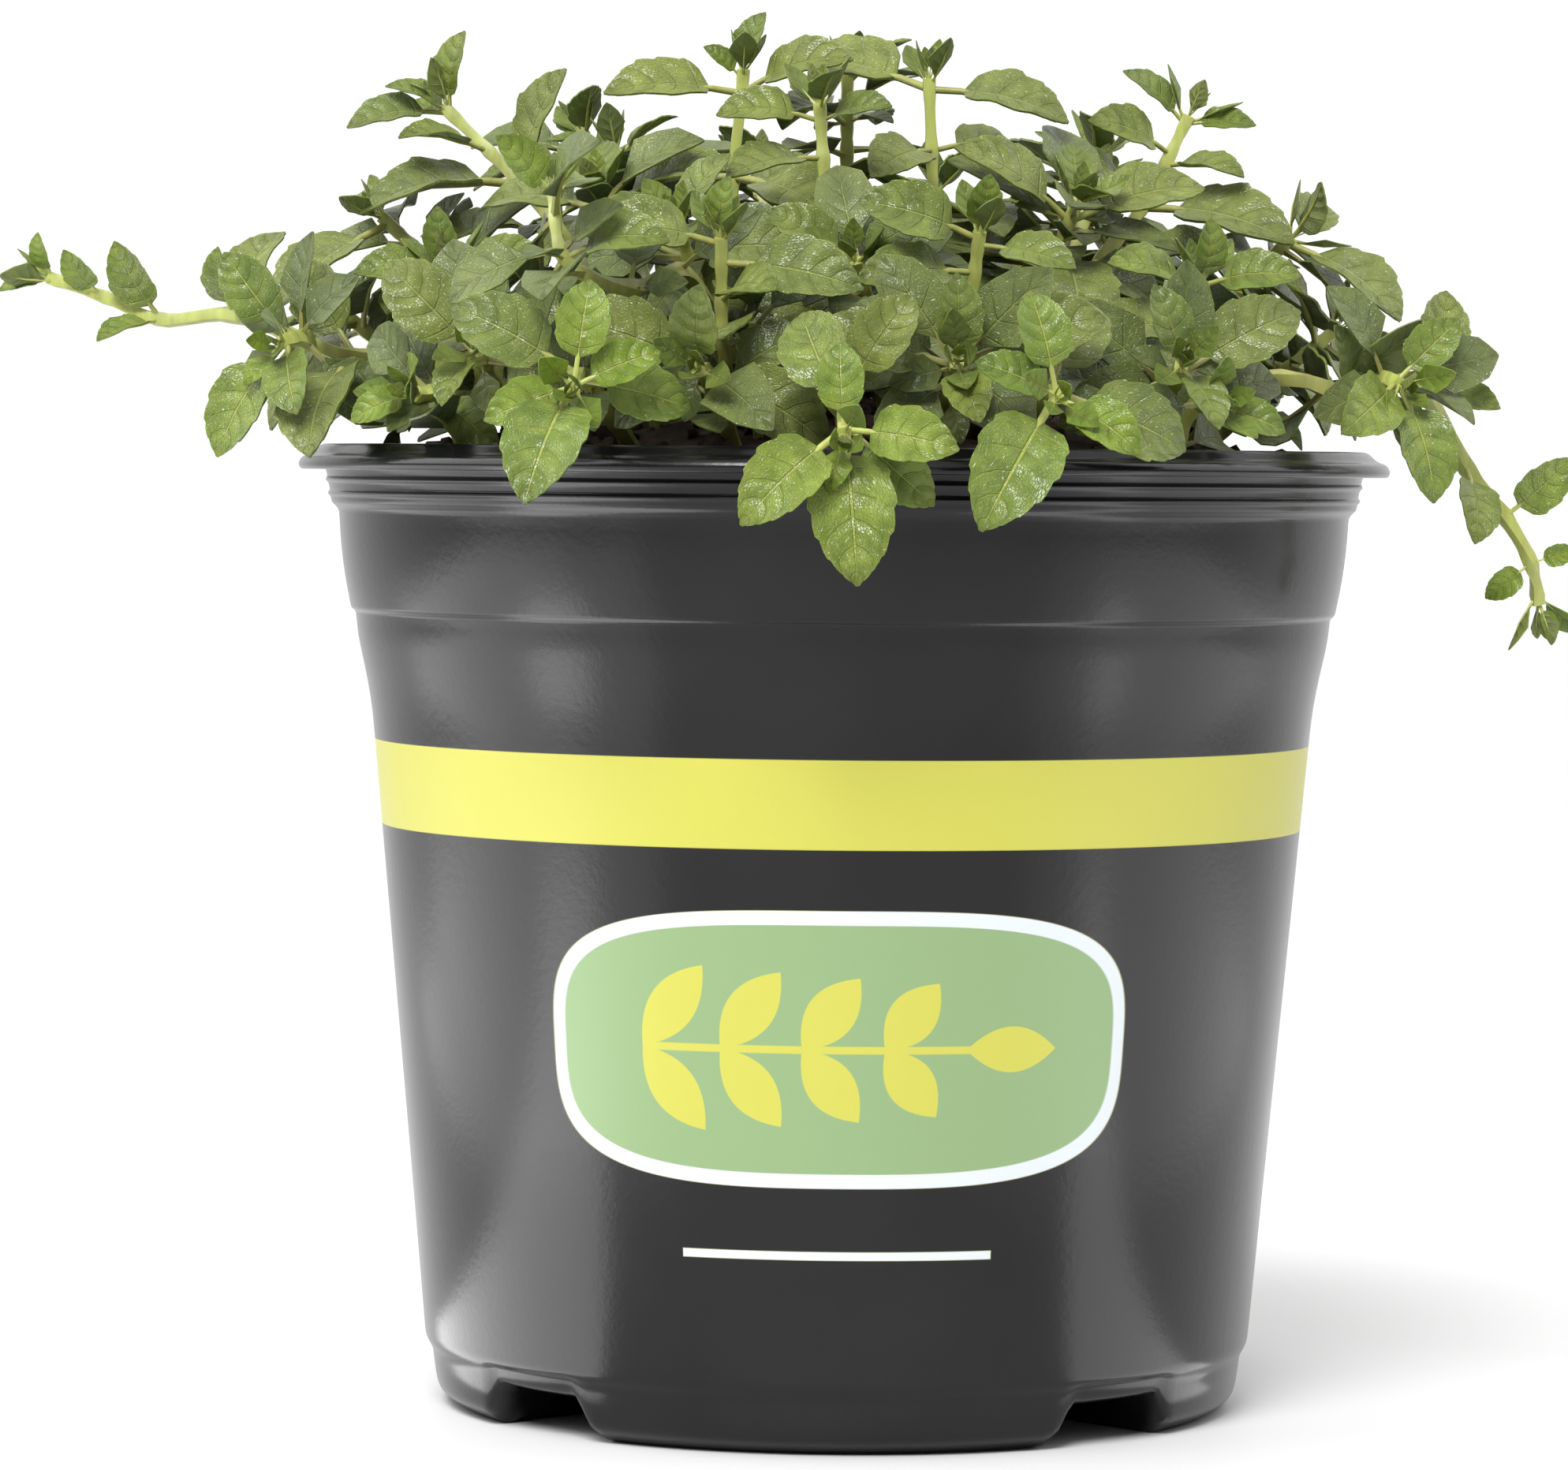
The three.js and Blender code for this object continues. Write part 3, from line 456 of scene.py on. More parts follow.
# %% Pot material
BAND = (63.8, 73.1)  # lowest and highest height
PANEL_MIDDLE = 43
PANEL_HALF = (32, 14.5)  # half width round the wall, half height
PANEL_POWER = 3.4  # 2 is an ellipse, and more is squarer
PANEL_BORDER = 1.5
PRINT_RADIUS = 48.6  # of the wall, where the print is
PRINT_EDGE = 0.06
INK_SKIN = 0.6  # only what lies this near to the outside takes ink
RULE_Z = 21.4
RULE_HALF = (17, 0.45)
SPRIG_FOOT, SPRIG_STEP, SPRIG_PAIRS = -21, 8.6, 4
SPRIG_STALK = (-1, 0, 20, 0.4)  # its middle, half length and half width
SPRIG_TIP_LEAF = (10, 2.4)  # length, and how broad it is
SPRIG_LEAF = (11, 2.5)
SPRIG_TURN, SPRIG_SHRINK = 0.9, 0.7  # a leaf's angle, and how much shorter each next pair is

INK_LIME = screen_colour(187, 185, 78)
INK_GREEN = screen_colour(132, 158, 112)
INK_WHITE = screen_colour(206, 212, 216)
BLACK, HAZY_BLACK = (0.0014, 0.0014, 0.0018, 1), (0.0055, 0.0055, 0.006, 1)
GLOSS, GLOSS_OF_HAZE, GLOSS_OF_INK = 0.19, 0.06, 0.12  # roughness, and what haze and ink add to it
PEEL_RELIEF, WAVE_RELIEF = 0.018 * MM, 0.05 * MM

plastic, tree, shader, here = new_material("black_plastic", Roughness=0.2, IOR=1.4)
place = node(tree, "ShaderNodeSeparateXYZ", {"Vector": here}).outputs
height = product(place["Z"], 1000)
around = product(calc("ARCTAN2", place["X"], product(place["Y"], -1)), PRINT_RADIUS)
up = calc("SUBTRACT", height, PANEL_MIDDLE)


def inside_of(value):
    """1 where value is below 0, with an edge as sharp as print."""
    return ramp(value, PRINT_EDGE, -PRINT_EDGE)


def panel(shrink):
    """The panel's plain rounded shape, shrunk by so many millimetres."""
    parts = []
    for value, half in ((around, PANEL_HALF[0]), (up, PANEL_HALF[1])):
        share = calc("DIVIDE", calc("ABSOLUTE", value), half - shrink)
        parts.append(calc("POWER", share, PANEL_POWER))
    edge = calc("SUBTRACT", calc("ADD", *parts), 1)
    return inside_of(product(edge, PANEL_HALF[1] / PANEL_POWER))


def printed_leaves(x, angle, length, width):
    """A pointed oval with one end on the middle line of the panel, and its mirror image below that line."""
    c, s = math.cos(angle), math.sin(angle)
    a, b = calc("SUBTRACT", around, x), calc("ABSOLUTE", up)
    along = calc("MULTIPLY_ADD", a, c, product(b, s))
    across = calc("ABSOLUTE", calc("MULTIPLY_ADD", b, c, product(a, -s)))
    from_middle = calc("SUBTRACT", calc("DIVIDE", along, length / 2), 1)
    belly = calc("SUBTRACT", product(from_middle, from_middle), 1)
    return inside_of(calc("MULTIPLY_ADD", belly, width, across))


def printed_bar(x, y, half_width, half_height):
    a = calc("SUBTRACT", difference(around, x), half_width)
    b = calc("SUBTRACT", difference(up, y), half_height)
    return inside_of(calc("MAXIMUM", a, b))


def either(masks):
    whole = masks[0]
    for mask in masks[1:]:
        whole = calc("MAXIMUM", whole, mask)
    return whole


sprig = [printed_bar(*SPRIG_STALK)]
sprig.append(printed_leaves(SPRIG_FOOT + SPRIG_PAIRS * SPRIG_STEP, 0, *SPRIG_TIP_LEAF))
for pair in range(SPRIG_PAIRS):
    foot, length = SPRIG_FOOT + pair * SPRIG_STEP, SPRIG_LEAF[0] - SPRIG_SHRINK * pair
    sprig.append(printed_leaves(foot, SPRIG_TURN, length, SPRIG_LEAF[1]))
whole_panel = panel(0)
rule = printed_bar(0, RULE_Z - PANEL_MIDDLE, *RULE_HALF)
band = inside_of(calc("SUBTRACT", difference(height, sum(BAND) / 2), (BAND[1] - BAND[0]) / 2))

taper = (WALL_TOP[0] - WALL_FOOT[0]) / (WALL_TOP[1] - WALL_FOOT[1])
wall_radius = calc("MULTIPLY_ADD", height, taper, WALL_FOOT[0] - WALL_FOOT[1] * taper - INK_SKIN)
from_axis = calc("MULTIPLY_ADD", place["X"], place["X"], product(place["Y"], place["Y"]))
is_outer = calc("GREATER_THAN", product(calc("SQRT", from_axis), 1000), wall_radius)
ink = product(either([band, whole_panel, rule]), is_outer)
ink_colour = mixed(whole_panel, INK_LIME, INK_WHITE)
ink_colour = mixed(rule, ink_colour, INK_WHITE)
ink_colour = mixed(panel(PANEL_BORDER), ink_colour, INK_GREEN)
ink_colour = mixed(either(sprig), ink_colour, INK_LIME)

haze = noise(here, 60, 3)
colour = mixed(ramp(haze, 0.3, 0.8), BLACK, HAZY_BLACK)
feed(shader.inputs["Base Color"], mixed(ink, colour, ink_colour))
gloss = calc("MULTIPLY_ADD", haze, GLOSS_OF_HAZE, GLOSS)
feed(shader.inputs["Roughness"], calc("MULTIPLY_ADD", ink, GLOSS_OF_INK, gloss))
waves = bump(noise(here, 60, 2), WAVE_RELIEF)
feed(shader.inputs["Normal"], bump(noise(here, 1100, 2, 0.6), PEEL_RELIEF, waves))

pot.data.materials.append(plastic)
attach(pot, "root")
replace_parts(pot, "pot")
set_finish(pot, "pot_plastic")
print("nodes in the pot's material:", len(tree.nodes))

# %% [markdown]
# ## The soil
# Potting soil is peat and bark: a dark, crumbly mound with grains of every size. The mound is spun from its
# outline like the pot, and the corners of its top are moved up and down by noise. Noise alone looks like
# melted wax, so loose crumbs lie on it too. One crumb is modelled with few faces, and each copy is turned,
# squashed and set half into the mound.

# %% The mound
SOIL_EDGE_Z = 101.2
SOIL_MOUND = 9
SOIL_RADIUS = 55
SOIL_LUMP = 0.7
SOIL_STEPS, SOIL_RINGS = 120, 46
LUMPS_PER_MM, MOST_LUMP = 0.35, 1.2
FIT_GAP = 0.3


def soil_height(x, y):
    share = np.minimum(1, np.hypot(x, y) / SOIL_RADIUS)
    return SOIL_EDGE_Z + SOIL_MOUND * (1 - share * share)


along_pot = [(r - FIT_GAP, z) for r, z in reversed(rounded(inside)) if BASE_THICKNESS < z < SOIL_EDGE_Z]
soil_floor = BASE_THICKNESS + FIT_GAP
floor_of_soil = [(r, soil_floor) for r in reversed(FLOOR_RADII)]
top_of_soil = [(r, float(soil_height(r, 0))) for r in np.linspace(SOIL_RADIUS, 0, SOIL_RINGS)]
soil = spun("potting_soil", floor_of_soil + along_pot + top_of_soil, SOIL_STEPS)
x, y, z = coordinates(soil).T / MM
on_top = (z > SOIL_EDGE_Z + 0.05) & (np.hypot(x, y) < SOIL_RADIUS - 0.2)
lumps = np.array([fractal(Vector((a, b, 0)) * LUMPS_PER_MM, 0.9, 2.1, 4) for a, b in zip(x, y)])
settled = np.where(on_top, z + SOIL_LUMP * np.clip(lumps, -MOST_LUMP, MOST_LUMP), z)
fade = np.clip(1 - (z - BASE_THICKNESS) / WALL_ABOVE, 0, 1)
lifted = z + pocket_lift(x, y, soil_floor) * fade
set_coordinates(soil, np.stack([x, y, np.where(z < WALL_ABOVE, lifted, settled)], 1) * MM)
print("corners of the mound:", len(soil.data.vertices))

# %% Crumbs on the mound
CRUMBS = 520
SEED_OF_CRUMBS = 11
SMALL_CRUMB, MORE_CRUMB = 0.5, 1.3  # radius of the smallest, and what the largest has more
SQUASH, KNOBS = (0.6, 0.8), (0.75, 0.5)  # the least, and what chance adds
CRUMB_LIFT = 0.25  # of its middle over the mound, as a share of its size

chance = np.random.default_rng(SEED_OF_CRUMBS).random
deselect_all()
bpy.ops.mesh.primitive_ico_sphere_add(subdivisions=1, radius=1)
crumb = bpy.context.object
shape_of_crumb = coordinates(crumb)
crumbs = []
for _ in range(CRUMBS):
    reach = (SOIL_RADIUS - 2) * math.sqrt(chance())
    angle = 2 * math.pi * chance()
    x, y = reach * math.cos(angle), reach * math.sin(angle)
    size = SMALL_CRUMB + MORE_CRUMB * chance() ** 2
    squash = np.diag(size * (SQUASH[0] + SQUASH[1] * chance(3)))
    knobs = shape_of_crumb * (KNOBS[0] + KNOBS[1] * chance((len(shape_of_crumb), 1)))
    turned = knobs @ squash @ np.array(Euler(6.3 * chance(3)).to_matrix())
    piece = bpy.data.objects.new("crumb", crumb.data.copy())
    bpy.context.scene.collection.objects.link(piece)
    set_coordinates(piece, (turned + (x, y, float(soil_height(x, y)) + CRUMB_LIFT * size)) * MM)
    crumbs.append(piece)
bpy.data.objects.remove(crumb)
only(soil)
for piece in crumbs:
    piece.select_set(True)
bpy.ops.object.join()
bpy.ops.object.shade_smooth_by_angle(angle=math.radians(50))
print("faces in the soil:", len(soil.data.polygons))

# %% [markdown]
# Damp peat is nearly black and has no gloss. Two sizes of noise tint it: fine grains, which go from black to
# bark brown, and wider clods. The grains also bend the light, so that each has a lit side.

# %% Soil material
earth, tree, shader, here = new_material("peaty_soil", Roughness=0.95)
grain = noise(here, 900, 6, 0.7)
clods = noise(here, 160, 3)
colour = mixed(ramp(grain, 0.35, 0.7), screen_colour(26, 18, 14), screen_colour(78, 56, 42))
colour = mixed(ramp(clods, 0.55, 0.75), colour, screen_colour(44, 30, 22))
feed(shader.inputs["Base Color"], colour)
feed(shader.inputs["Normal"], bump(grain, 0.5 * MM))
soil.data.materials.clear()
soil.data.materials.append(earth)
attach(soil, "root")
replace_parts(soil, "soil")
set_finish(soil, "potting_soil")
print("nodes in the soil's material:", len(tree.nodes))

# %% [markdown]
# ## How a mint shoot grows
# Mint has square stems, and its leaves stand in opposite pairs, each pair across the pair below it. The
# fine leaves have to lie where the plain solids of the frame have theirs, so the same rule grows them
# again: the same stems, the same repeatable stream of random numbers, and the same test that no leaf
# touches another. A stem's path is its root, its bends and its tip, in millimetres. Its pairs have lengths,
# lowest pair first, and some leaves are aimed at a point in space. `young` makes a shoot a fresher green.


# %% The stems
def mint(name, path, lengths=(), turn=0, nodes=None, aimed=(), young=0, fused_to=None):
    """One shoot. A shoot that is fused to another belongs to the other's piece."""
    return SimpleNamespace(
        name=name, owner=fused_to or name, path=path, lengths=lengths, turn=turn, nodes=nodes,
        aimed=aimed, young=young, leaves=[],
    )


stems = [
    mint("crown_left", [(-8, 6), (-12.5, 4, 128), (-11.5, 4, 147)],
         nodes=[0.42, 0.68], lengths=[14, 14], turn=50,
         aimed=[(0.97, -9, 3, 153.5), (0.97, -16, 3, 149.5), (0.93, -27, 0, 144), (0.93, 1, -1, 148)]),
    mint("crown_right", [(7, 4), (9.5, 2, 126), (9, 1, 146)],
         nodes=[0.42, 0.62], lengths=[14, 14], turn=40,
         aimed=[(0.97, -5.5, 9, 151.5), (0.97, 24.5, -2, 141), (0.8, 2.5, -10, 134.5), (0.8, 20, 8, 138)]),
    mint("crown_middle", [(-1, -8), (-2, -12, 128), (-3, -12, 142.5)],
         nodes=[0.5, 0.97], lengths=[13, 6], turn=20,
         aimed=[(0.93, -14.5, -14, 141), (0.93, 5, -16, 142), (0.78, -13, -20, 134)]),
    mint("high_left", [(-20, 6), (-30, 7, 126), (-36.5, 8, 134.5), (-45, 10, 143)],
         nodes=[0.4], lengths=[14], turn=100,
         aimed=[(0.97, -42.5, 8, 151.5), (0.97, -55, 8, 140.5), (0.95, -51, 10, 146.5),
                (0.8, -49, 3, 139), (0.66, -54, 2, 130.5), (0.66, -31, 3, 147)]),
    mint("high_right", [(18, 6), (27, 7, 124), (33, 8, 132.5), (38, 9, 142.5)],
         nodes=[0.4], lengths=[14], turn=80,
         aimed=[(0.97, 30.5, 8, 147.5), (0.97, 45.5, 8, 141.5), (0.86, 28, 3, 143.5),
                (0.82, 44, 3, 135.5), (0.66, 49.5, 0, 128), (0.66, 22, 0, 137)]),
    mint("middle_left", [(-9, -24), (-12.5, -36, 114), (-13, -40, 127)],
         nodes=[0.75], lengths=[9], turn=-60, young=0.15,
         aimed=[(0.97, -12, -42, 133.5), (0.97, -27.5, -42, 127), (0.9, 2, -44, 121.5),
                (0.62, -12.5, -52, 109.5)]),
    mint("middle_right", [(12, -20), (12.5, -31, 114), (14, -35, 128)],
         nodes=[0.7], lengths=[11], turn=-20, young=0.15,
         aimed=[(0.97, 1, -37, 131), (0.97, 15, -38, 134), (0.95, 24, -40, 124),
                (0.85, 1, -40, 122.5), (0.6, 6.5, -48, 109.5)]),
    mint("side_left", [(-30, -10), (-40.5, -14, 114), (-42.5, -15, 124)],
         nodes=[0.75], lengths=[11], turn=-40, young=0.2,
         aimed=[(0.97, -44, -17, 131), (0.97, -53, -19, 123.5), (0.97, -32, -20, 125.5),
                (0.6, -37, -29, 109)]),
    mint("side_right", [(28, -12), (36.5, -16, 113), (38, -17, 123.5)],
         nodes=[0.75], lengths=[11], turn=-140, young=0.2,
         aimed=[(0.97, 39, -19, 130.5), (0.97, 49, -20, 124), (0.97, 28.5, -22, 125),
                (0.6, 34, -30, 109.5)]),
    mint("front_left", [(-20, -30), (-26.5, -48, 112), (-27.5, -60, 111)],
         nodes=[0.5, 0.72], lengths=[12, 12], turn=60, young=0.6,
         aimed=[(0.97, -26, -57, 121.5), (0.95, -36.5, -61, 107.5), (0.95, -18.5, -60, 114.5),
                (0.92, -33, -67, 97), (0.8, -15.5, -53, 109)]),
    mint("front_right", [(15, -30), (20.5, -48, 110.5), (21.5, -60, 110.5)],
         nodes=[0.5, 0.72], lengths=[12, 12], turn=70, young=0.6,
         aimed=[(0.97, 18.5, -57, 121.5), (0.95, 13, -60, 114), (0.95, 30, -63, 104.5),
                (0.92, 13.5, -67, 96.5)]),
    mint("front_centre", [(0, -32), (0, -54, 110.5), (0, -66, 106.5)],
         nodes=[0.5], lengths=[12], turn=60, young=0.5,
         aimed=[(0.97, -0.5, -63, 116), (0.83, -4.5, -53, 119), (0.95, -10.5, -70, 97),
                (0.95, 12.5, -67, 106), (0.9, 7, -70, 98.5), (0.86, 1.5, -69, 91)]),
    mint("arching", [(-7, -20), (-16, -30, 122.5), (-22.5, -42, 121.5), (-29, -45, 124.5),
                               (-30.5, -43, 132)],
         nodes=[0.5, 0.75, 0.97], lengths=[9, 9, 7], turn=60, young=0.4),
    mint("shoulder_left", [(-29, 5), (-43, 5, 122), (-51.5, 5, 130.5)],
         nodes=[0.45, 0.72, 0.97], lengths=[14, 14, 8], turn=80, aimed=[(0.95, -63, -3, 119.5)]),
    mint("shoulder_right", [(28, 5), (42, 5, 122), (49.5, 5, 129)],
         nodes=[0.45, 0.72, 0.97], lengths=[14, 14, 8], turn=100, aimed=[(0.95, 61, -3, 119.5)]),
    mint("rear_left", [(-18, 22), (-26, 26, 126), (-30, 27, 141)], lengths=[14, 14, 11, 7], turn=20),
    mint("rear_right", [(18, 22), (25, 26, 126), (28.5, 27, 139)], lengths=[14, 14, 11, 7], turn=-20),
    mint("inner_left", [(-15, -4), (-24, -5, 124), (-27, -7, 133)], lengths=[13, 14, 12, 7], turn=-20),
    mint("inner_right", [(16, -6), (22, -7, 124), (25, -9, 132)], lengths=[13, 14, 12, 7], turn=20),
    mint("inner_front_left", [(-9, -12), (-15, -18, 120), (-18, -22, 129)], lengths=[12, 12, 8], turn=30),
    mint("inner_front_right", [(5, -14), (3, -24, 118), (1, -30, 125)], lengths=[13, 12, 8], turn=-30),
    mint("low_left", [(-31, -23), (-37, -31, 112), (-38.5, -38, 115)], lengths=[12, 11, 7], turn=60),
    mint("low_right", [(29, -25), (34, -33, 111), (35, -40, 114)], lengths=[12, 11, 7], turn=-60),
    mint("low_front_left", [(-10, -35), (-14, -45, 112), (-15, -51, 113)], lengths=[12, 12, 8], turn=80),
    mint("low_front_right", [(9, -35), (11, -45, 112), (11.5, -51, 114)], lengths=[12, 12, 8], turn=-80),
    mint("rim_left", [(-38, -27), (-42, -31, 109.5), (-45, -34, 110.5)], lengths=[8, 6.5], turn=80,
         young=0.5),
    mint("rim_right", [(33, -33), (36, -36, 109), (38.5, -39, 110)], lengths=[8, 6.5], turn=-80,
         young=0.5),
    mint("runner_left", young=0.35,
         path=[(-36, -14), (-44, -15, 114.5), (-52.5, -18, 114.5), (-57.5, -18, 116), (-66, -15, 119),
               (-74, -13, 118.5), (-80.5, -12, 121), (-86.5, -11, 123)],
         aimed=[(0.286, -59, -12, 125), (0.286, -52.5, -33, 102.5), (0.571, -67.5, -18, 126.5),
                (0.571, -61, -8, 128.5), (0.714, -79, -15, 127), (0.714, -80.5, -18, 116),
                (0.857, -84.5, -15, 126), (0.985, -87.5, -13, 128), (0.985, -92, -11, 121.5)]),
    mint("runner_left_branch", fused_to="runner_left", young=0.5,
         path=[(-57.5, -18, 116), (-58.5, -21.5, 116.5), (-60, -24.5, 116)],
         aimed=[(0.8, -66, -23, 125), (0.8, -56, -30, 108), (0.9, -67.5, -28, 104.5)]),
    mint("runner_right", young=0.35,
         path=[(33, -13), (43.5, -17, 112), (48.5, -19, 113), (53.5, -19, 111.5), (57, -20, 112.5),
               (62.5, -16, 111.5), (67, -14, 104), (71.5, -13, 98.5), (74.5, -12, 93.5), (75.5, -11, 89)],
         aimed=[(0.333, 52, -24, 119), (0.555, 65, -12, 123), (0.555, 70.5, -19, 110),
                (0.667, 67.5, -21, 96), (0.778, 78.5, -15, 105), (0.889, 79.5, -12, 95),
                (0.889, 69.5, -12, 89.5), (0.985, 77, -11, 84.5)]),
    mint("runner_right_branch", fused_to="runner_right", young=0.5,
         path=[(57, -20, 112.5), (58, -23, 113), (59, -25.5, 112.5)],
         aimed=[(0.8, 65.5, -23, 119.5), (0.9, 62.5, -29, 99.5), (0.8, 52, -35, 107)]),
]
rings = [
    dict(name="back_outer", count=7, start=8, end=172, root=36, tip=57, top=121, lengths=[14, 14, 11, 7]),
    dict(name="back_inner", count=4, start=40, end=140, root=22, tip=36, top=137, lengths=[14, 14, 10, 7]),
    dict(name="heart", count=1, start=90, end=90, root=9, tip=13, top=146, lengths=[14, 14, 10, 7]),
]
print("stems written out:", len(stems), "and in rings:", sum(ring["count"] for ring in rings))

# %% [markdown]
# A stem is a smooth curve through its points. At any place along it the rule needs the stem's direction and
# two directions square to it, because the leaves stand out that way. Chance comes from a stream of numbers
# that starts from a seed, so the plant grows the same each time.


# %% Chance, curves and directions
def random_stream(seed):
    state = seed
    while True:
        state = state * 16807 % 2147483647
        yield state / 2147483647


def point_on(points, t):
    """Places on a smooth curve through the points, t from 0 to 1."""
    last = len(points) - 1
    t = np.asarray(t, float)
    span = np.minimum(last - 1, np.floor(t * last)).astype(int)
    w = (t * last - span)[..., None]
    padded = np.vstack([2 * points[0] - points[1], points, 2 * points[-1] - points[-2]])
    a, b, c, d = (padded[span + i] for i in range(4))
    slope_in, slope_out = 0.5 * (c - a), 0.5 * (d - b)
    cubic = 2 * b - 2 * c + slope_in + slope_out
    square = -3 * b + 3 * c - 2 * slope_in - slope_out
    return ((cubic * w + square) * w + slope_in) * w + b


def unit(way):
    return way / np.linalg.norm(way, axis=-1, keepdims=True)


def direction_on(points, t):
    step = 0.01
    t = np.asarray(t, float)
    return unit(point_on(points, np.minimum(1, t + step)) - point_on(points, np.maximum(0, t - step)))


def sides_of(way):
    """Two directions square to a stem, turned as little as can be from +X and +Y."""
    x, y, z = way[..., 0], way[..., 1], way[..., 2]
    k = 1 / np.maximum(1e-6, 1 + z)
    u = np.stack([1 - x * x * k, -x * y * k, -x], -1)
    v = np.stack([-x * y * k, 1 - y * y * k, -y], -1)
    return u, v


bent = np.array([(0, 0, 0), (0, 1, 5), (0, 4, 9)], float)
print("a quarter along a bent stem of three points:", point_on(bent, 0.25).round(2))

# %% All the stems in space
SEED = 20261
ROOT_DEPTH = 5  # how deep a stem stands in the soil
FIRST_NODE, FIRST_OF_TWO, LAST_NODE, NODE_CROWDING = 0.4, 0.6, 0.97, 1.5  # where the pairs stand
LEAN_SPREAD, TOP_SPREAD = 0.1, 5  # how much the stems of a ring differ
BEND_OUT, BEND_LIFT = 0.6, 4


def node_spacing(pairs):
    """Places of the pairs along a stem, closer together near its tip."""
    first = FIRST_NODE if pairs > 2 else FIRST_OF_TWO
    shares = [i / (pairs - 1) if pairs > 1 else 1 for i in range(pairs)]
    return [first + (LAST_NODE - first) * (1 - (1 - share) ** NODE_CROWDING) for share in shares]


def all_stems(draw):
    """The written stems and those of the rings, each with its path from under the soil to its tip."""
    made = list(stems)
    for ring in (SimpleNamespace(**ring) for ring in rings):
        for i in range(ring.count):
            share = i / (ring.count - 1) if ring.count > 1 else 0
            angle = math.radians(ring.start + (ring.end - ring.start) * share)
            lean = 1 + LEAN_SPREAD * (next(draw) - 0.5)
            top = ring.top + TOP_SPREAD * (next(draw) - 0.5)
            c, s = math.cos(angle), math.sin(angle)
            bend = ((1 - BEND_OUT) * ring.root + BEND_OUT * ring.tip) * lean
            bend_z = 0.5 * (SOIL_EDGE_Z + BEND_LIFT + top)
            tip = ring.tip * lean
            path = [(ring.root * c, ring.root * s), (bend * c, bend * s, bend_z), (tip * c, tip * s, top)]
            made.append(mint(f"{ring.name}_{i + 1}", path, ring.lengths, 180 * next(draw)))
    for stem in made:
        if len(stem.path[0]) == 2:
            x, y = stem.path[0]
            stem.path[0] = (x, y, float(soil_height(x, y)) - ROOT_DEPTH)
        stem.path = np.array(stem.path, float)
        if stem.nodes is None:
            stem.nodes = node_spacing(len(stem.lengths))
    return made


draw = random_stream(SEED)
bush = all_stems(draw)
print("stems in the bush:", len(bush))

# %% [markdown]
# A mint leaf runs out from its stem on a short stalk and turns its upper side out of the bush and to the
# light. Its blade droops along an arc. A leaf is only a plan at first: its place, its angles and its length.
# Old leaves, low on the stem, stand off and hang more than the young ones at the tip.

# %% One leaf
STEM_BASE, STEM_TIP = 0.85, 0.55  # half widths of a stem at the soil and at its tip
STALK_SHARE, SHORT_STALK = 0.26, 0.16  # a stalk's length, as a share of a blade's or of a small blade's
SMALL_LEAF = 8.2
OWN_WAY, OUTWARD, HEART_Z, HEIGHT_SHARE = 0.3, 0.6, 96, 0.8  # what turns the upper side, besides the light
LIGHT = np.array((0, -0.55, 0.3))
AIMED_LIGHT = 2
RANKS = 6  # how many steps of age there are along a stem
PITCH, PITCH_SPREAD, PITCH_BY_RANK, MOST_PITCH = 50, 14, 20, 102  # degrees, as all angles here
TURN_SPREAD, PAIR_TURN = 16, 90
DROOP, DROOP_SPREAD, DROOP_BY_RANK = 22, 24, 5
ROLL_SPREAD, AIMED_ROLL_SPREAD = 30, 24
LEAST_LENGTH, LENGTH_SPREAD = 0.94, 0.12


def stalk_of(length):
    return STEM_BASE + (SHORT_STALK if length < SMALL_LEAF else STALK_SHARE) * length


def make_leaf(plan, more_pitch=0, more_turn=0, size=1):
    """Where a leaf stands and how it bends. Its upper side turns out of the bush and to the light."""
    path = plan.stem.path
    along = direction_on(path, plan.at)
    u, v = sides_of(along)
    angle = plan.turn + math.radians(more_turn)
    pitch = plan.pitch + math.radians(more_pitch)
    out = u * math.cos(angle) + v * math.sin(angle)
    axis = along * math.cos(pitch) + out * math.sin(pitch)
    root = point_on(path, plan.at)
    outward = unit(np.array((root[0], root[1], HEIGHT_SHARE * (root[2] - HEART_Z))))
    upper = OWN_WAY * (along * math.sin(pitch) - out * math.cos(pitch))
    upper = upper + plan.sun * (OUTWARD * outward + LIGHT * (AIMED_LIGHT if plan.aimed else 1))
    upper = unit(upper - axis * (upper @ axis))
    upper = upper * math.cos(plan.roll) + np.cross(axis, upper) * math.sin(plan.roll)
    length = plan.length * size
    stalk = stalk_of(length)
    if plan.aimed:
        lift = 0.5 * plan.droop * length / (length + stalk)
        axis, upper = (
            axis * math.cos(lift) + upper * math.sin(lift),
            upper * math.cos(lift) - axis * math.sin(lift),
        )
    return SimpleNamespace(
        root=root, axis=axis, upper=upper, side=np.cross(axis, upper), length=length, stalk=stalk,
        bend=plan.droop / length, at=plan.at, shaded=plan.shaded, extra=plan.extra,
    )


def leaf_plan(
    stem, at, turn, pitch, droop, roll, length, rank=0, aimed=False, shaded=False, extra=False, sun=1
):
    """What the rule has to know of a leaf before it grows. at is its place along the stem."""
    return SimpleNamespace(**locals())


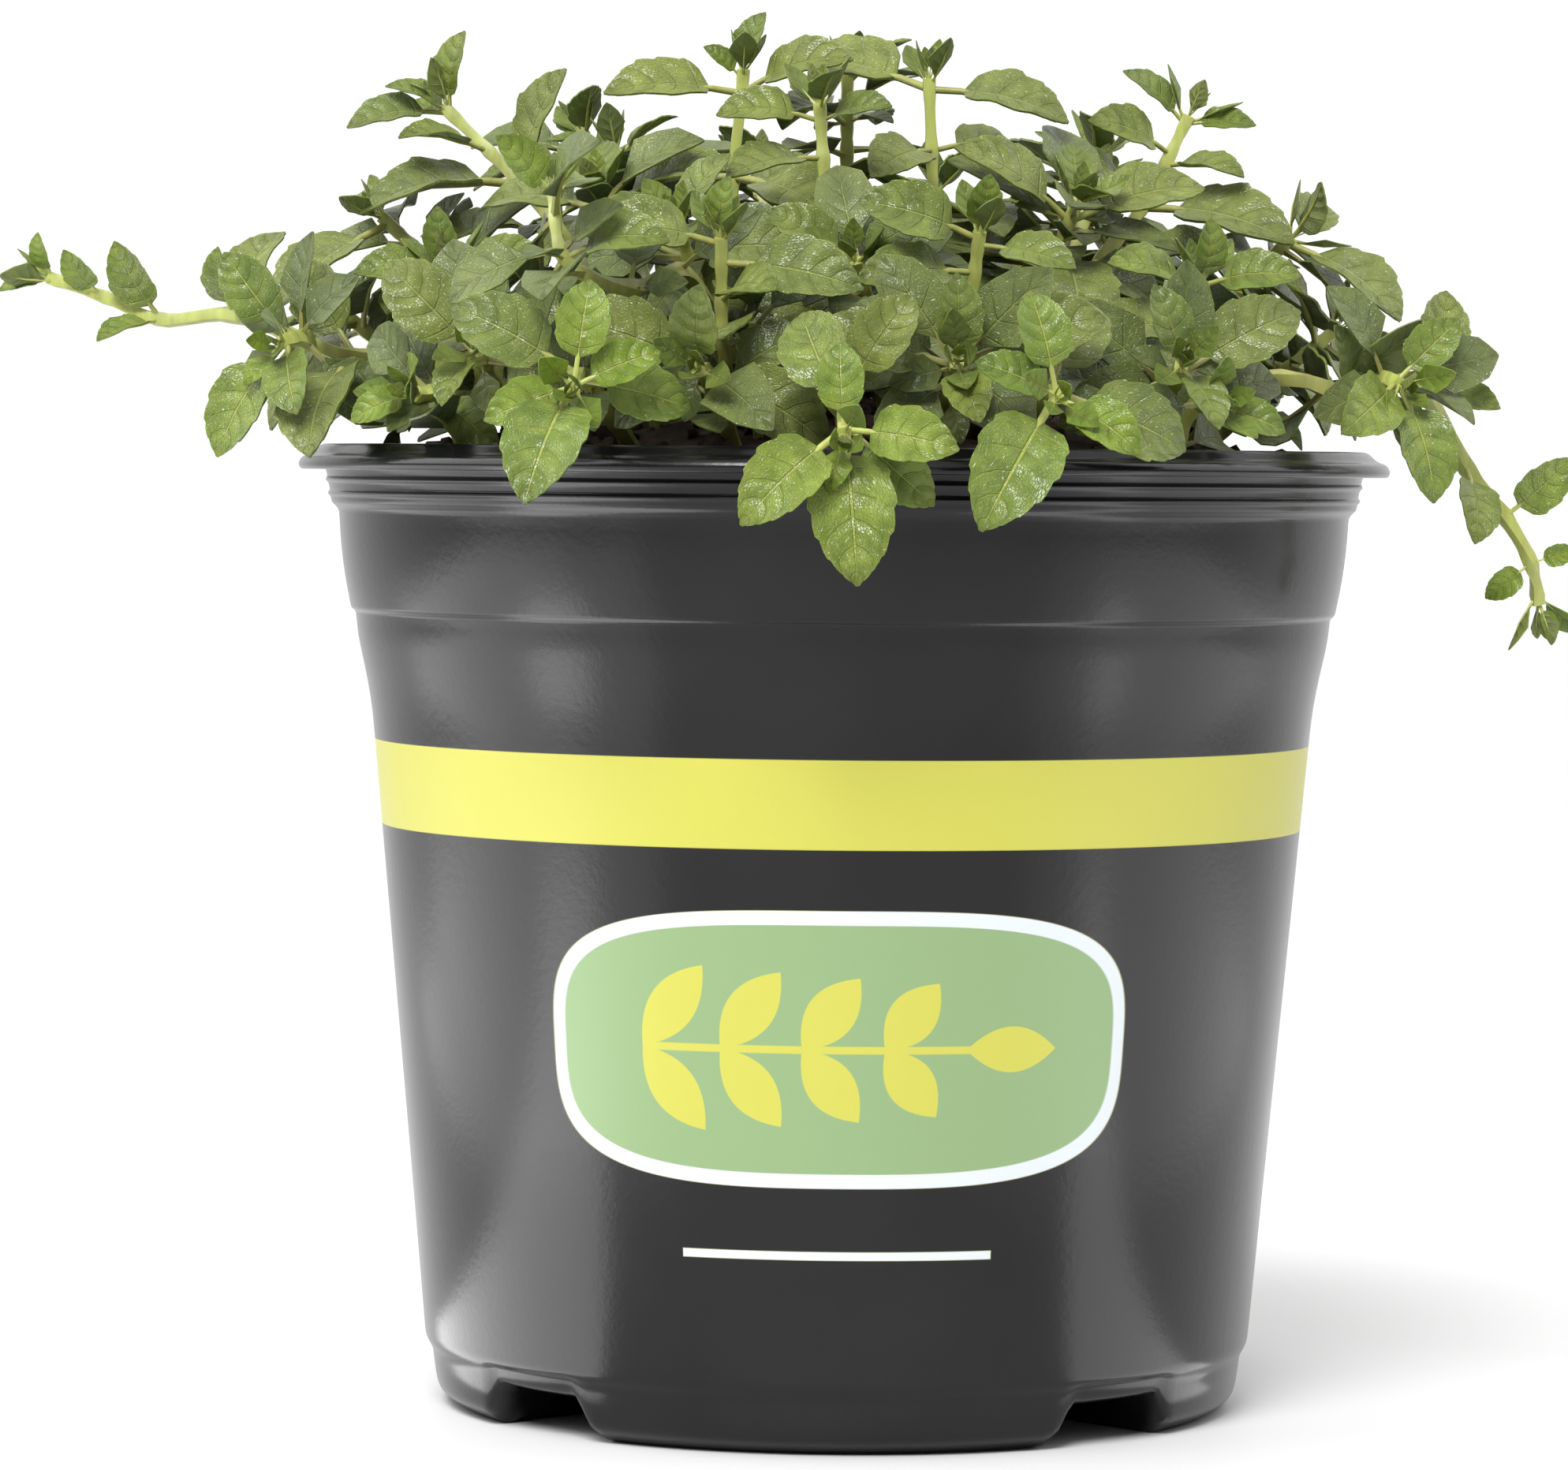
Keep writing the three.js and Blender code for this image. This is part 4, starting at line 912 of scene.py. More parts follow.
def leaf_plans(stem, draw):
    """The leaves that are aimed at points, and then the pairs, from the tip down."""
    plans = []
    along_tip = stalk_of(SMALL_LEAF) + SMALL_LEAF
    for at, *target in stem.aimed:
        reach = np.array(target) - point_on(stem.path, at)
        along = direction_on(stem.path, at)
        u, v = sides_of(along)
        whole = np.linalg.norm(reach)
        droop = math.radians(DROOP + DROOP_SPREAD * next(draw))
        roll = math.radians(AIMED_ROLL_SPREAD * (next(draw) - 0.5))
        length = (whole - STEM_BASE) / (1 + (SHORT_STALK if whole < along_tip else STALK_SHARE))
        turn, pitch = math.atan2(reach @ v, reach @ u), math.acos(reach @ along / whole)
        plans.append(leaf_plan(stem, at, turn, pitch, droop, roll, length, aimed=True))
    for pair in reversed(range(len(stem.lengths))):
        rank = math.floor((1 - stem.nodes[pair]) * RANKS + 0.5)
        pitch = min(MOST_PITCH, PITCH + PITCH_BY_RANK * rank)
        for twin in (0, 1):
            turn = stem.turn + PAIR_TURN * pair + 180 * twin + TURN_SPREAD * (next(draw) - 0.5)
            plans.append(leaf_plan(
                stem, stem.nodes[pair], math.radians(turn),
                pitch=math.radians(pitch + PITCH_SPREAD * (next(draw) - 0.5)),
                droop=math.radians(DROOP + DROOP_BY_RANK * rank + DROOP_SPREAD * next(draw)),
                roll=math.radians(ROLL_SPREAD * (next(draw) - 0.5)),
                length=stem.lengths[pair] * (LEAST_LENGTH + LENGTH_SPREAD * next(draw)),
                rank=rank + 1,
            ))
    return plans


def leaf_place(leaf, s, x, rise):
    """Places on a leaf: s along its rib, x to the side, and rise above it, all in millimetres."""
    turned = leaf.bend * np.maximum(0, s - leaf.stalk)
    forward = np.minimum(s, leaf.stalk) + np.sin(turned) / leaf.bend + rise * np.sin(turned)
    up = rise * np.cos(turned) - (1 - np.cos(turned)) / leaf.bend
    return leaf.root + np.outer(forward, leaf.axis) + np.outer(up, leaf.upper) + np.outer(x, leaf.side)


plans = [plan for stem in bush for plan in leaf_plans(stem, draw)]
print("leaves planned:", len(plans))

# %% [markdown]
# No leaf may cut through another leaf, the soil or the pot. So a leaf is sampled at points that lie close
# together, and they are compared with the points of all that stands there already. A leaf without room is
# swung aside or made smaller, and where nothing helps it does not grow.

# %% Room for each leaf
BLADE_HALF, FOLD, BELLY = 0.34, 0.32, 0.75  # half width by length, fold in radians, how low it is broadest
SAMPLE_STEP, NARROW, STEM_SAMPLES = 1.5, 0.3, 40
CLEARANCE, OWN_CLEARANCE, POT_CLEARANCE = 1.75, 1.25, 1.1  # from others, from its own stem, from the pot
FREE_SHARE = 0.22  # the foot of a leaf may be near to its own stem
SWINGS = [
    (0, 0, 1), (12, 0, 1), (-12, 0, 1), (0, 18, 1), (0, -18, 1), (24, 0, 0.95), (-24, 0, 0.95),
    (12, 28, 0.9), (-12, -28, 0.9), (0, 42, 0.85), (0, -42, 0.85), (35, 0, 0.8), (-35, 0, 0.8),
    (20, 30, 0.7), (-20, -30, 0.7),
]  # more pitch, more turn and size, tried in turn


def leaf_samples(leaf):
    """Points over a leaf, and which of them are so far along it that its own stem may not touch them."""
    whole = leaf.stalk + leaf.length
    steps = math.ceil(whole / SAMPLE_STEP)
    reach, aside = [], []
    for i in range(1, steps + 1):
        s = whole * i / steps
        share = min(1, (s - leaf.stalk) / leaf.length)
        belly = max(0, math.sin(math.pi * share**BELLY)) if share > 0 else 0
        half = BLADE_HALF * leaf.length * math.sqrt(belly)
        across = math.ceil(2 * half / SAMPLE_STEP) if half > NARROW else 0
        for j in range(across + 1):
            reach.append(s)
            aside.append(half * (2 * j / across - 1) if across else 0)
    s, x = np.array(reach), np.array(aside)
    points = leaf_place(leaf, s, x * math.cos(FOLD), np.abs(x) * math.sin(FOLD))
    return points, (s - leaf.stalk) / leaf.length > FREE_SHARE


def clear_of_pot(points):
    x, y, z = points.T
    r = np.hypot(x, y)
    over_soil = z > soil_height(x, y) + SOIL_LUMP + POT_CLEARANCE
    above = (z > CROWN_Z + POT_CLEARANCE) & ((r > SOIL_RADIUS) | over_soil)
    beside = (r > RIM_RADIUS + POT_CLEARANCE) | ((r < SOIL_RADIUS - POT_CLEARANCE) & over_soil)
    return bool(np.all(np.where(z > CROWN_Z + POT_CLEARANCE, above, beside)))


taken = []  # what stands in the bush so far: points, which are free, owner, middle and reach


def take(points, free, owner):
    middle = points.mean(0)
    taken.append((points, free, owner, middle, np.linalg.norm(points - middle, axis=1).max()))


def is_clear(points, free, owner, apart=CLEARANCE, own_apart=OWN_CLEARANCE):
    middle = points.mean(0)
    reach = np.linalg.norm(points - middle, axis=1).max()
    for other, other_free, other_owner, other_middle, other_reach in taken:
        if np.linalg.norm(middle - other_middle) > reach + other_reach + apart:
            continue
        mine, theirs, limit = points, other, apart
        if other_owner == owner:
            mine, theirs, limit = points[free], other[other_free], own_apart
        if len(mine) and len(theirs):
            gaps = ((mine[:, None] - theirs[None]) ** 2).sum(-1)
            if gaps.min() < limit * limit:
                return False
    return True


def grow(plans, apart=CLEARANCE, own_apart=OWN_CLEARANCE, swings=SWINGS):
    """Lets each planned leaf try its swings until it is clear, and keeps those that fit."""
    grown = 0
    for plan in plans:
        for more_pitch, more_turn, size in swings:
            leaf = make_leaf(plan, more_pitch, more_turn, size)
            points, free = leaf_samples(leaf)
            if clear_of_pot(points) and is_clear(points, free, plan.stem.owner, apart, own_apart):
                take(points, free, plan.stem.owner)
                plan.stem.leaves.append(leaf)
                grown += 1
                break
    return grown


along_stem = np.linspace(0, 1, STEM_SAMPLES + 1)
for stem in bush:
    take(point_on(stem.path, along_stem), np.ones(len(along_stem), bool), stem.owner)
print("leaves grown:", grow(sorted(plans, key=lambda plan: plan.rank)))

# %% [markdown]
# The same rule must give the same leaves as the frame has, or the fine shoots would stand beside their
# solids. So each shoot is compared with its node: the boxes round both have to agree.

# %% Compare the growth with the frame
far_off = {}
for name in sorted({stem.owner for stem in bush}):
    mine = [leaf_samples(leaf)[0] for stem in bush if stem.owner == name for leaf in stem.leaves]
    mine = np.vstack(mine + [stem.path for stem in bush if stem.owner == name])
    low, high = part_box(f"mint_{name}")
    gaps = [mine.min(0) - np.array(low) / MM, mine.max(0) - np.array(high) / MM]
    far_off[name] = round(float(np.abs(gaps).max()), 1)
print("furthest from its node's box, in mm:", max(far_off.items(), key=lambda item: item[1]))

# %% [markdown]
# ## Fresh green
# A mint leaf is dark and a little grey when it is old, and yellow-green when it is young. Its veins are
# paler and lie in fine grooves on the upper side, and stand out on the pale underside. The pattern has to
# follow the leaf however it bends, so it is drawn in the leaf's own UV map: U runs across and V along, and
# every side vein lies at a fixed V. Two attributes tell the leaves apart: young, and tone, which is a
# random number for each leaf, with 1 added on the shaded leaves inside the bush. Tone mixes a leaf towards
# a cool dark green, so on those shaded leaves it is painted shade.

# %% Leaf materials
TOP_OLD, TOP_YOUNG = screen_colour(127, 135, 53), screen_colour(116, 146, 18)
UNDER_OLD, UNDER_YOUNG = screen_colour(110, 113, 80), screen_colour(138, 148, 74)
VEIN_OLD, VEIN_YOUNG = screen_colour(126, 135, 74), screen_colour(166, 176, 84)
STALK_OLD, STALK_YOUNG = screen_colour(154, 158, 84), screen_colour(172, 182, 92)
STEM_FOOT, STEM_STREAK = screen_colour(96, 82, 52), screen_colour(104, 95, 54)
# the cool dark green is a random tint of some mature leaves, and painted shade on the shaded inner leaves
DARK_PATCH, COOL_TONE = screen_colour(26, 44, 18), screen_colour(58, 76, 62)
SPECK = screen_colour(190, 196, 180)
SIDE_VEINS = 5  # on each side of the midrib
MIDRIB_EDGE, VEIN_EDGE, NET_EDGE = (0.052, 0.026), (0.055, 0.008), (0.12, 0)  # a vein starts, and is full
NET_CELLS = (26, 34)  # of the finest veins, across a leaf and along it
MIDRIB_SHARE, VEIN_SHARE, NET_SHARE = 0.85, 0.5, 0.16  # how much of the veins' colour they show
PALE_SHARE, DARK_SHARE, COOL_SHARE = 0.35, 0.5, 0.5  # how far the tints go
TONE_SHARE, RIM_SHARE, SPECK_SHARE = 0.62, 0.3, 0.75  # how strongly they show
NET_DEPTH, QUILTING, GRAIN = 0.25, 0.5, 0.3  # of the finest veins, the swellings and the grain
LEAF_RELIEF, STEM_RELIEF = 0.3 * MM, 0.1 * MM


def attribute(tree, name):
    return node(tree, "ShaderNodeAttribute", attribute_name=name).outputs["Fac"]


def leaf_material(name, old, fresh, groove, roughness):
    """One side of a leaf. groove is below 0 where the veins are sunk, and above 0 where they stand out."""
    material, tree, shader, here = new_material(name, Roughness=roughness, Subsurface_Weight=0.12)
    young, tone = attribute(tree, "young"), attribute(tree, "tone")
    uv = node(tree, "ShaderNodeUVMap", uv_map="leaf").outputs["UV"]
    flat = node(tree, "ShaderNodeSeparateXYZ", {"Vector": uv}).outputs

    # the veins
    aside = calc("ABSOLUTE", calc("MULTIPLY_ADD", flat["X"], 2, -1))
    from_vein = difference(calc("FRACT", product(flat["Y"], SIDE_VEINS)), 0.5)
    midrib = ramp(aside, *MIDRIB_EDGE)
    side_vein = product(ramp(from_vein, *VEIN_EDGE), ramp(aside, 1.0, 0.3))
    net = {"Vector": stretched(uv, *NET_CELLS, 1), "Scale": 1.0}
    net = node(tree, "ShaderNodeTexVoronoi", net, feature="DISTANCE_TO_EDGE").outputs["Distance"]
    net = ramp(net, *NET_EDGE)

    # the colour
    vein_colour = mixed(young, VEIN_OLD, VEIN_YOUNG)
    patches = noise(here, 420, 3)
    colour = mixed(young, old, fresh)
    darker = mixed(DARK_SHARE, colour, DARK_PATCH)
    colour = mixed(ramp(patches, 0.3, 0.72), darker, mixed(PALE_SHARE, colour, vein_colour))
    # the tone mix: a random cool tint, and painted shade where a shaded leaf's tone is above 1
    colour = mixed(product(tone, TONE_SHARE), colour, mixed(COOL_SHARE, colour, COOL_TONE))
    colour = mixed(product(net, NET_SHARE), colour, vein_colour)
    colour = mixed(product(ramp(aside, 0.3, 1.0), RIM_SHARE), colour, darker)
    veined = calc("MAXIMUM", product(midrib, MIDRIB_SHARE), product(side_vein, VEIN_SHARE))
    colour = mixed(veined, colour, vein_colour)
    dots = node(tree, "ShaderNodeTexVoronoi", {"Vector": here, "Scale": 1500.0}).outputs["Distance"]
    dots = product(ramp(dots, 0.16, 0.1), ramp(noise(here, 260, 1), 0.58, 0.64))
    feed(shader.inputs["Base Color"], mixed(product(dots, SPECK_SHARE), colour, SPECK))
    feed(shader.inputs["Roughness"], calc("MULTIPLY_ADD", patches, 0.25, roughness - 0.1))

    # the relief: veins, fine veins, the swellings between them, and a fine grain
    fine = product(net, NET_DEPTH * groove)
    relief = calc("MULTIPLY_ADD", calc("MAXIMUM", midrib, side_vein), groove, fine)
    quilting = product(ramp(from_vein, 0.4, 0.0), ramp(aside, 1.0, 0.4))
    relief = calc("MULTIPLY_ADD", quilting, QUILTING * groove, relief)
    relief = calc("MULTIPLY_ADD", noise(here, 1400, 2), GRAIN, relief)
    feed(shader.inputs["Normal"], bump(relief, LEAF_RELIEF))
    return material


def stalk_material():
    material, tree, shader, here = new_material("stalk_green", Roughness=0.42, Subsurface_Weight=0.1)
    young, tone = attribute(tree, "young"), attribute(tree, "tone")
    streaks = noise(stretched(here, 1, 1, 0.15), 900, 3)
    colour = mixed(ramp(young, 0.15, 0.8), STALK_OLD, STALK_YOUNG)
    colour = mixed(ramp(young, 0.11, 0.0), colour, STEM_FOOT)
    colour = mixed(product(ramp(streaks, 0.35, 0.7), 0.4), colour, STEM_STREAK)
    feed(shader.inputs["Base Color"], mixed(product(tone, 0.2), colour, STEM_FOOT))
    feed(shader.inputs["Normal"], bump(streaks, STEM_RELIEF))
    return material


foliage = [
    leaf_material("leaf_upper_side", TOP_OLD, TOP_YOUNG, groove=-0.6, roughness=0.3),
    leaf_material("leaf_underside", UNDER_OLD, UNDER_YOUNG, groove=1.0, roughness=0.6),
    stalk_material(),
]
for material in foliage:
    shader = next(n for n in material.node_tree.nodes if n.type == "BSDF_PRINCIPLED")
    shader.inputs["Subsurface Scale"].default_value = 1 * MM
    shader.inputs["Subsurface Radius"].default_value = (0.7, 1.0, 0.25)
print("foliage materials:", [material.name for material in foliage])

# %% [markdown]
# ## A leaf, modelled once
# The model of a leaf follows its veins: a flat grid is shaped so that every other row of it lies along a
# pair of side veins, and ends in a pair of teeth. The blade swells up a little between the veins. The
# modifier Solidify gives it a thickness and its underside, and a thin tapered tube becomes the stalk, which
# runs on under the blade as its midrib. The leaf lies along Y, with its stalk below 0 and its blade above,
# each one unit long. Big leaves get more teeth and finer rows than small ones, as on the plant.

# %% Leaf templates
VEIN_LEAN = 0.24  # how far forward a side vein runs from the midrib to the edge
TOOTH, TOOTH_FORWARD = 0.08, 0.016
TOOTH_SHAPES = {2: (0, 1), 4: (0, 0.4, 0.75, 1)}  # how the edge rises along one tooth, row by row
TIP_HALF, FOOT_HALF = 0.02, 0.08  # the least half width of the grid at the tip, and what the foot has more
SWELL = 0.022
THICKNESS = 0.022
STALK_RINGS = [
    (-1, 0.05), (-0.85, 0.037), (-0.1, 0.034), (0.1, 0.03), (0.4, 0.02), (0.75, 0.011), (0.94, 0.004),
]  # a place along the leaf, and the radius there
LOOKS = ("young", "tone")


def add_foliage(thing, used=0):
    """Gives a template the three materials of the foliage, and all its faces one of them."""
    for material in foliage:
        thing.data.materials.append(material)
    for face in thing.data.polygons:
        face.material_index = used


def tube(sides, steps):
    """A closed tube of stalk green along Z, extruded from a disc, with its rings 1 apart."""
    deselect_all()
    bpy.ops.mesh.primitive_circle_add(vertices=sides, radius=1, fill_type="NGON")
    made = bpy.context.object
    bpy.ops.object.mode_set(mode="EDIT")
    bpy.ops.mesh.select_all(action="SELECT")
    for _ in range(steps):
        bpy.ops.mesh.extrude_region_move(TRANSFORM_OT_translate={"value": (0, 0, 1)})
    bpy.ops.mesh.select_all(action="SELECT")
    bpy.ops.mesh.normals_make_consistent(inside=False)
    bpy.ops.object.mode_set(mode="OBJECT")
    made.data.uv_layers.active.name = "leaf"
    add_foliage(made, 2)
    return made


def finished(made, name):
    """Names a template, smooths it and gives it the attributes that every copy fills in."""
    only(made)
    made.name = made.data.name = name
    bpy.ops.object.shade_smooth_by_angle(angle=math.radians(60))
    for look in LOOKS:
        made.data.attributes.new(look, "FLOAT", "POINT")
    print("faces in", name, len(made.data.polygons))
    return made


def blade_width(share):
    """Half width of the blade along its length: round at the foot, narrower at the tip."""
    share = np.clip(share, 0, 1)
    return np.sin(np.pi * share**BELLY) ** (0.5 + 0.3 * share**3)


def blade(teeth, rows_in_tooth, cells_across):
    """A flat grid, shaped to a saw-edged blade and made thick."""
    deselect_all()
    rows = teeth * rows_in_tooth
    bpy.ops.mesh.primitive_grid_add(x_subdivisions=cells_across, y_subdivisions=rows, size=2)
    made = bpy.context.object
    a, t, _ = coordinates(made).T
    t = (t + 1) / 2
    row = np.rint(t * rows).astype(int)
    at_edge = np.abs(a) > 0.99
    rise = np.array(TOOTH_SHAPES[rows_in_tooth])[row % rows_in_tooth] * at_edge * (row < rows)
    share = t + VEIN_LEAN * np.sin(np.pi * t) * np.abs(a) ** 1.3 + TOOTH_FORWARD * rise
    half = np.maximum(blade_width(share), TIP_HALF + FOOT_HALF * (1 - t))
    half = half * (1 - TOOTH * at_edge * (0.6 - rise))
    swell = SWELL * np.cos(np.pi * t * SIDE_VEINS) ** 2 * np.sin(np.pi * np.abs(a)) * np.sin(np.pi * t)
    set_coordinates(made, np.stack([a * half * BLADE_HALF, np.minimum(share, 1), swell], 1))
    made.data.uv_layers.active.name = "leaf"
    add_foliage(made)
    thick = made.modifiers.new("thickness", "SOLIDIFY")
    thick.thickness = THICKNESS
    thick.offset = 0
    thick.material_offset = 1
    bpy.ops.object.modifier_apply(modifier=thick.name)
    return made


def leaf_stalk(sides, stalk_rings):
    """A tube along Y that gets thinner, and from the foot of the blade on lies under it."""
    made = tube(sides, len(stalk_rings) - 1)
    x, y, z = coordinates(made).T
    reach, radius = np.array(stalk_rings)[np.rint(z).astype(int)].T
    under = np.where(reach > 0, 0.8 * radius, 0)
    set_coordinates(made, np.stack([x * radius, reach, -y * radius - under], 1))
    return made


def leaf_template(name, teeth, rows_in_tooth, cells_across, stalk_sides, stalk_rings):
    made = blade(teeth, rows_in_tooth, cells_across)
    stalk = leaf_stalk(stalk_sides, stalk_rings)
    only(made)
    stalk.select_set(True)
    bpy.ops.object.join()
    return finished(made, name)


large_leaf = leaf_template("large_leaf", 7, 4, 6, 6, STALK_RINGS)
middle_leaf = leaf_template("middle_leaf", 6, 4, 6, 6, STALK_RINGS)
small_leaf = leaf_template("small_leaf", 3, 2, 2, 4, STALK_RINGS[::2])
bud_leaf = leaf_template("bud_leaf", 2, 2, 2, 4, STALK_RINGS[::2])

# %% [markdown]
# ## A stem, modelled once
# A mint stem is square with rounded corners, and swells a little where a pair of leaves stands on it. The
# model is a disc of eight corners, extruded many times. Four of its corners are pushed out to make it
# square. Each copy is then laid along its own path.

# %% Stem template
STEM_RINGS = 40
CORNER_OUT = 1.24
NODE_SWELL, NODE_REACH = 0.32, 1.3  # share of the stem's width, and millimetres along it

square_stem = tube(8, STEM_RINGS)
x, y, z = coordinates(square_stem).T
is_corner = (np.abs(x) > 0.5) & (np.abs(y) > 0.5)
out = np.where(is_corner, CORNER_OUT, 1)
set_coordinates(square_stem, np.stack([x * out, y * out, z / STEM_RINGS], 1))
finished(square_stem, "square_stem")

# %% [markdown]
# ## Laying the copies in place
# Each copy gets its own mesh, and its corners are moved to where the rule says. A blade is folded up along
# its midrib and waves a little at its edge. Every wave, tone and swelling comes from a seeded generator, so
# the plant grows the same each time. The shaded leaves inside the bush are coloured older and darker, which
# is partly their age and partly painted shade.

# %% Copies
WAVE, LEAST_WAVES = 0.016, 1.6  # how high the edge waves, and how often at least
BUD_LEAF, LARGE_LEAF = 5.5, 11.5  # lengths up to which a leaf is a bud's, and from which it is large
GROWN_LEAF, YOUTH_SPAN = 11, 9  # the length of a grown leaf, and how much less makes a leaf all young
NEAR_TIP = (0.6, 0.3)  # where a stem's young end starts, and how long the change is
YOUTH_OF_SIZE, YOUTH_OF_TIP, YOUTH_OF_TONE, YOUTH_IN_SHADE, LEAST_YOUTH = 0.8, 1.1, 0.1, 0.35, 0.12
STEM_YOUTH = (0.25, 0.85)  # from its shoot, and from its foot to its tip
SEED_OF_LOOKS = 5
looks = np.random.default_rng(SEED_OF_LOOKS).random


def copy_of(template, places, young, tone):
    piece = bpy.data.objects.new(template.name, template.data.copy())
    bpy.context.scene.collection.objects.link(piece)
    set_coordinates(piece, places * MM)
    count = len(piece.data.vertices)
    for name, value in zip(LOOKS, (young, tone)):
        piece.data.attributes[name].data.foreach_set("value", np.broadcast_to(value, count).astype(float))
    return piece


def laid_leaf(leaf, stem):
    """A copy of the template that suits a leaf's size, folded, waved and bent to its place."""
    if leaf.extra:
        template = bud_leaf if leaf.length < BUD_LEAF else small_leaf
    else:
        template = middle_leaf if leaf.length < LARGE_LEAF else large_leaf
    x, y, z = coordinates(template).T
    s = np.where(y < 0, leaf.stalk * (1 + y), leaf.stalk + y * leaf.length)
    aside = x * leaf.length
    share = np.abs(x) / BLADE_HALF
    phase, waves, tone = looks(3)
    ripple = np.sin(2 * np.pi * ((LEAST_WAVES + waves) * y + phase)) * (y > 0)
    ripple = ripple * WAVE * leaf.length * share**2
    rise = z * leaf.length + np.abs(aside) * math.sin(FOLD) * share**0.35 + ripple
    places = leaf_place(leaf, s, aside * math.cos(FOLD), rise)
    near_tip = smooth_step((leaf.at - NEAR_TIP[0]) / NEAR_TIP[1])
    youth = YOUTH_OF_SIZE * np.clip((GROWN_LEAF - leaf.length) / YOUTH_SPAN, 0, 1)
    youth = youth + YOUTH_OF_TIP * stem.young * near_tip + YOUTH_OF_TONE * tone
    # a shaded inner leaf gets less youth, partly because it is older and partly as painted shade, and its
    # tone is raised by 1, which mixes it fully to the cool dark green as painted shade
    youth = youth * (YOUTH_IN_SHADE if leaf.shaded else 1)
    return copy_of(template, places, float(np.clip(youth, LEAST_YOUTH, 1)), tone + leaf.shaded)


def laid_stem(stem, width=1.0):
    """A copy of the square stem along the path of a shoot, swollen where its leaves stand."""
    x, y, t = coordinates(square_stem).T
    u, v = sides_of(direction_on(stem.path, t))
    half = (STEM_BASE + (STEM_TIP - STEM_BASE) * t) * width
    long = np.linalg.norm(np.diff(point_on(stem.path, np.linspace(0, 1, 30)), axis=0), axis=1).sum()
    nodes = np.array([leaf.at for leaf in stem.leaves])
    nearest = np.abs(t[:, None] - nodes).min(1) * long
    half = half * (1 + NODE_SWELL * np.exp(-((nearest / NODE_REACH) ** 2)))
    places = point_on(stem.path, t) + u * (x * half)[:, None] + v * (y * half)[:, None]
    return copy_of(square_stem, places, STEM_YOUTH[0] * stem.young + STEM_YOUTH[1] * t, looks())


def joined(name, pieces):
    """Joins all the pieces into the first one, and says what it is to the frame."""
    only(pieces[0])
    for piece in pieces:
        piece.select_set(True)
    bpy.ops.object.join()
    pieces[0].name = pieces[0].data.name = name
    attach(pieces[0], "root")
    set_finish(pieces[0], "mint_foliage")
    return pieces[0]

# %% [markdown]
# ## What fills the bush
# Between the big leaves a real bush is full of small ones: the folded bud at each tip, little leaves in the
# angles of the big ones, and shaded leaves further down. They are fine detail on the shoots, so they are
# grown last, from a seed of their own, only where there is still room.

# %% Small leaves
LITTLE_APART, LITTLE_OWN_APART = 1.15, 0.8
LITTLE_SWINGS = SWINGS[:9]
SEED_OF_LITTLE = 77
LITTLE_ROLL = 20
BUDS = [(0.975, 5.2, 42, -14), (0.99, 3.6, 24, -22), (1.0, 2.4, 10, -12)]  # place, length, pitch and droop
BUD_TURN, BUD_PITCH, BUD_SUN = 14, 10, 0.2
AXIL_LENGTHS, SHADED_LENGTHS, OPEN_LENGTHS = (4, 7), (8, 12), (7, 10)
SHADED_PLACES, OPEN_PLACES = (0.3, 0.42, 0.54, 0.66, 0.78, 0.9), (0.3, 0.45)
PLACE_SPREAD, SHADED_TURN_SPREAD = 0.03, 30
SHADED_PITCH, SHADED_DROOP = (55, 35), (20, 30)  # the least, and what chance adds
BELOW_BUDS = 0.96
little = random_stream(SEED_OF_LITTLE)


def little_plan(stem, at, turn, pitch, droop, length, **more):
    """A plan for an extra leaf, with its angles in degrees."""
    roll = LITTLE_ROLL * (next(little) - 0.5)
    turn, pitch, droop, roll = map(math.radians, (turn, pitch, droop, roll))
    return leaf_plan(stem, at, turn, pitch, droop, roll, length, extra=True, **more)


def bud_plans(stem):
    """Small pairs that stand up round the tip, the inner ones folded over it."""
    start = 180 * next(little)
    for at, length, pitch, droop in BUDS:
        start += 90
        for twin in (0, 180):
            turn = start + twin + BUD_TURN * next(little)
            yield little_plan(stem, at, turn, pitch + BUD_PITCH * next(little), droop, length, sun=BUD_SUN)


def shaded_plans(stem, places, lengths):
    pair_turn = 180 * next(little)
    for place_of_pair in places:
        pair_turn += 90
        for twin in (0, 180):
            length = lengths[0] + (lengths[1] - lengths[0]) * next(little)
            at = place_of_pair + PLACE_SPREAD * (next(little) - 0.5)
            turn = pair_turn + twin + SHADED_TURN_SPREAD * (next(little) - 0.5)
            pitch = SHADED_PITCH[0] + SHADED_PITCH[1] * next(little)
            droop = SHADED_DROOP[0] + SHADED_DROOP[1] * next(little)
            yield little_plan(stem, at, turn, pitch, droop, length, shaded=True)


def shaded_plans_on(members, lengths, places=None):
    """Plans shaded pairs on some stems, at the given places or where their leaves stand."""
    plans = []
    for stem in members:
        nodes = sorted({leaf.at for leaf in stem.leaves if leaf.at < BELOW_BUDS})
        plans += shaded_plans(stem, places or nodes, lengths)
    return plans


for stem in bush:
    for plan in bud_plans(stem):
        leaf = make_leaf(plan)
        take(*leaf_samples(leaf), stem.owner)
        stem.leaves.append(leaf)
open_stems = [stem for stem in bush if len(stem.aimed) > 2]
full_stems = [stem for stem in bush if len(stem.aimed) <= 2]
axil_plans = shaded_plans_on(full_stems, AXIL_LENGTHS)
shade_plans = shaded_plans_on(full_stems, SHADED_LENGTHS, SHADED_PLACES)
shade_plans += shaded_plans_on(open_stems, OPEN_LENGTHS, OPEN_PLACES)
print("shaded leaves:", grow(shade_plans, LITTLE_APART, LITTLE_OWN_APART, LITTLE_SWINGS))
print("leaves in the axils:", grow(axil_plans, LITTLE_APART, LITTLE_OWN_APART, LITTLE_SWINGS))

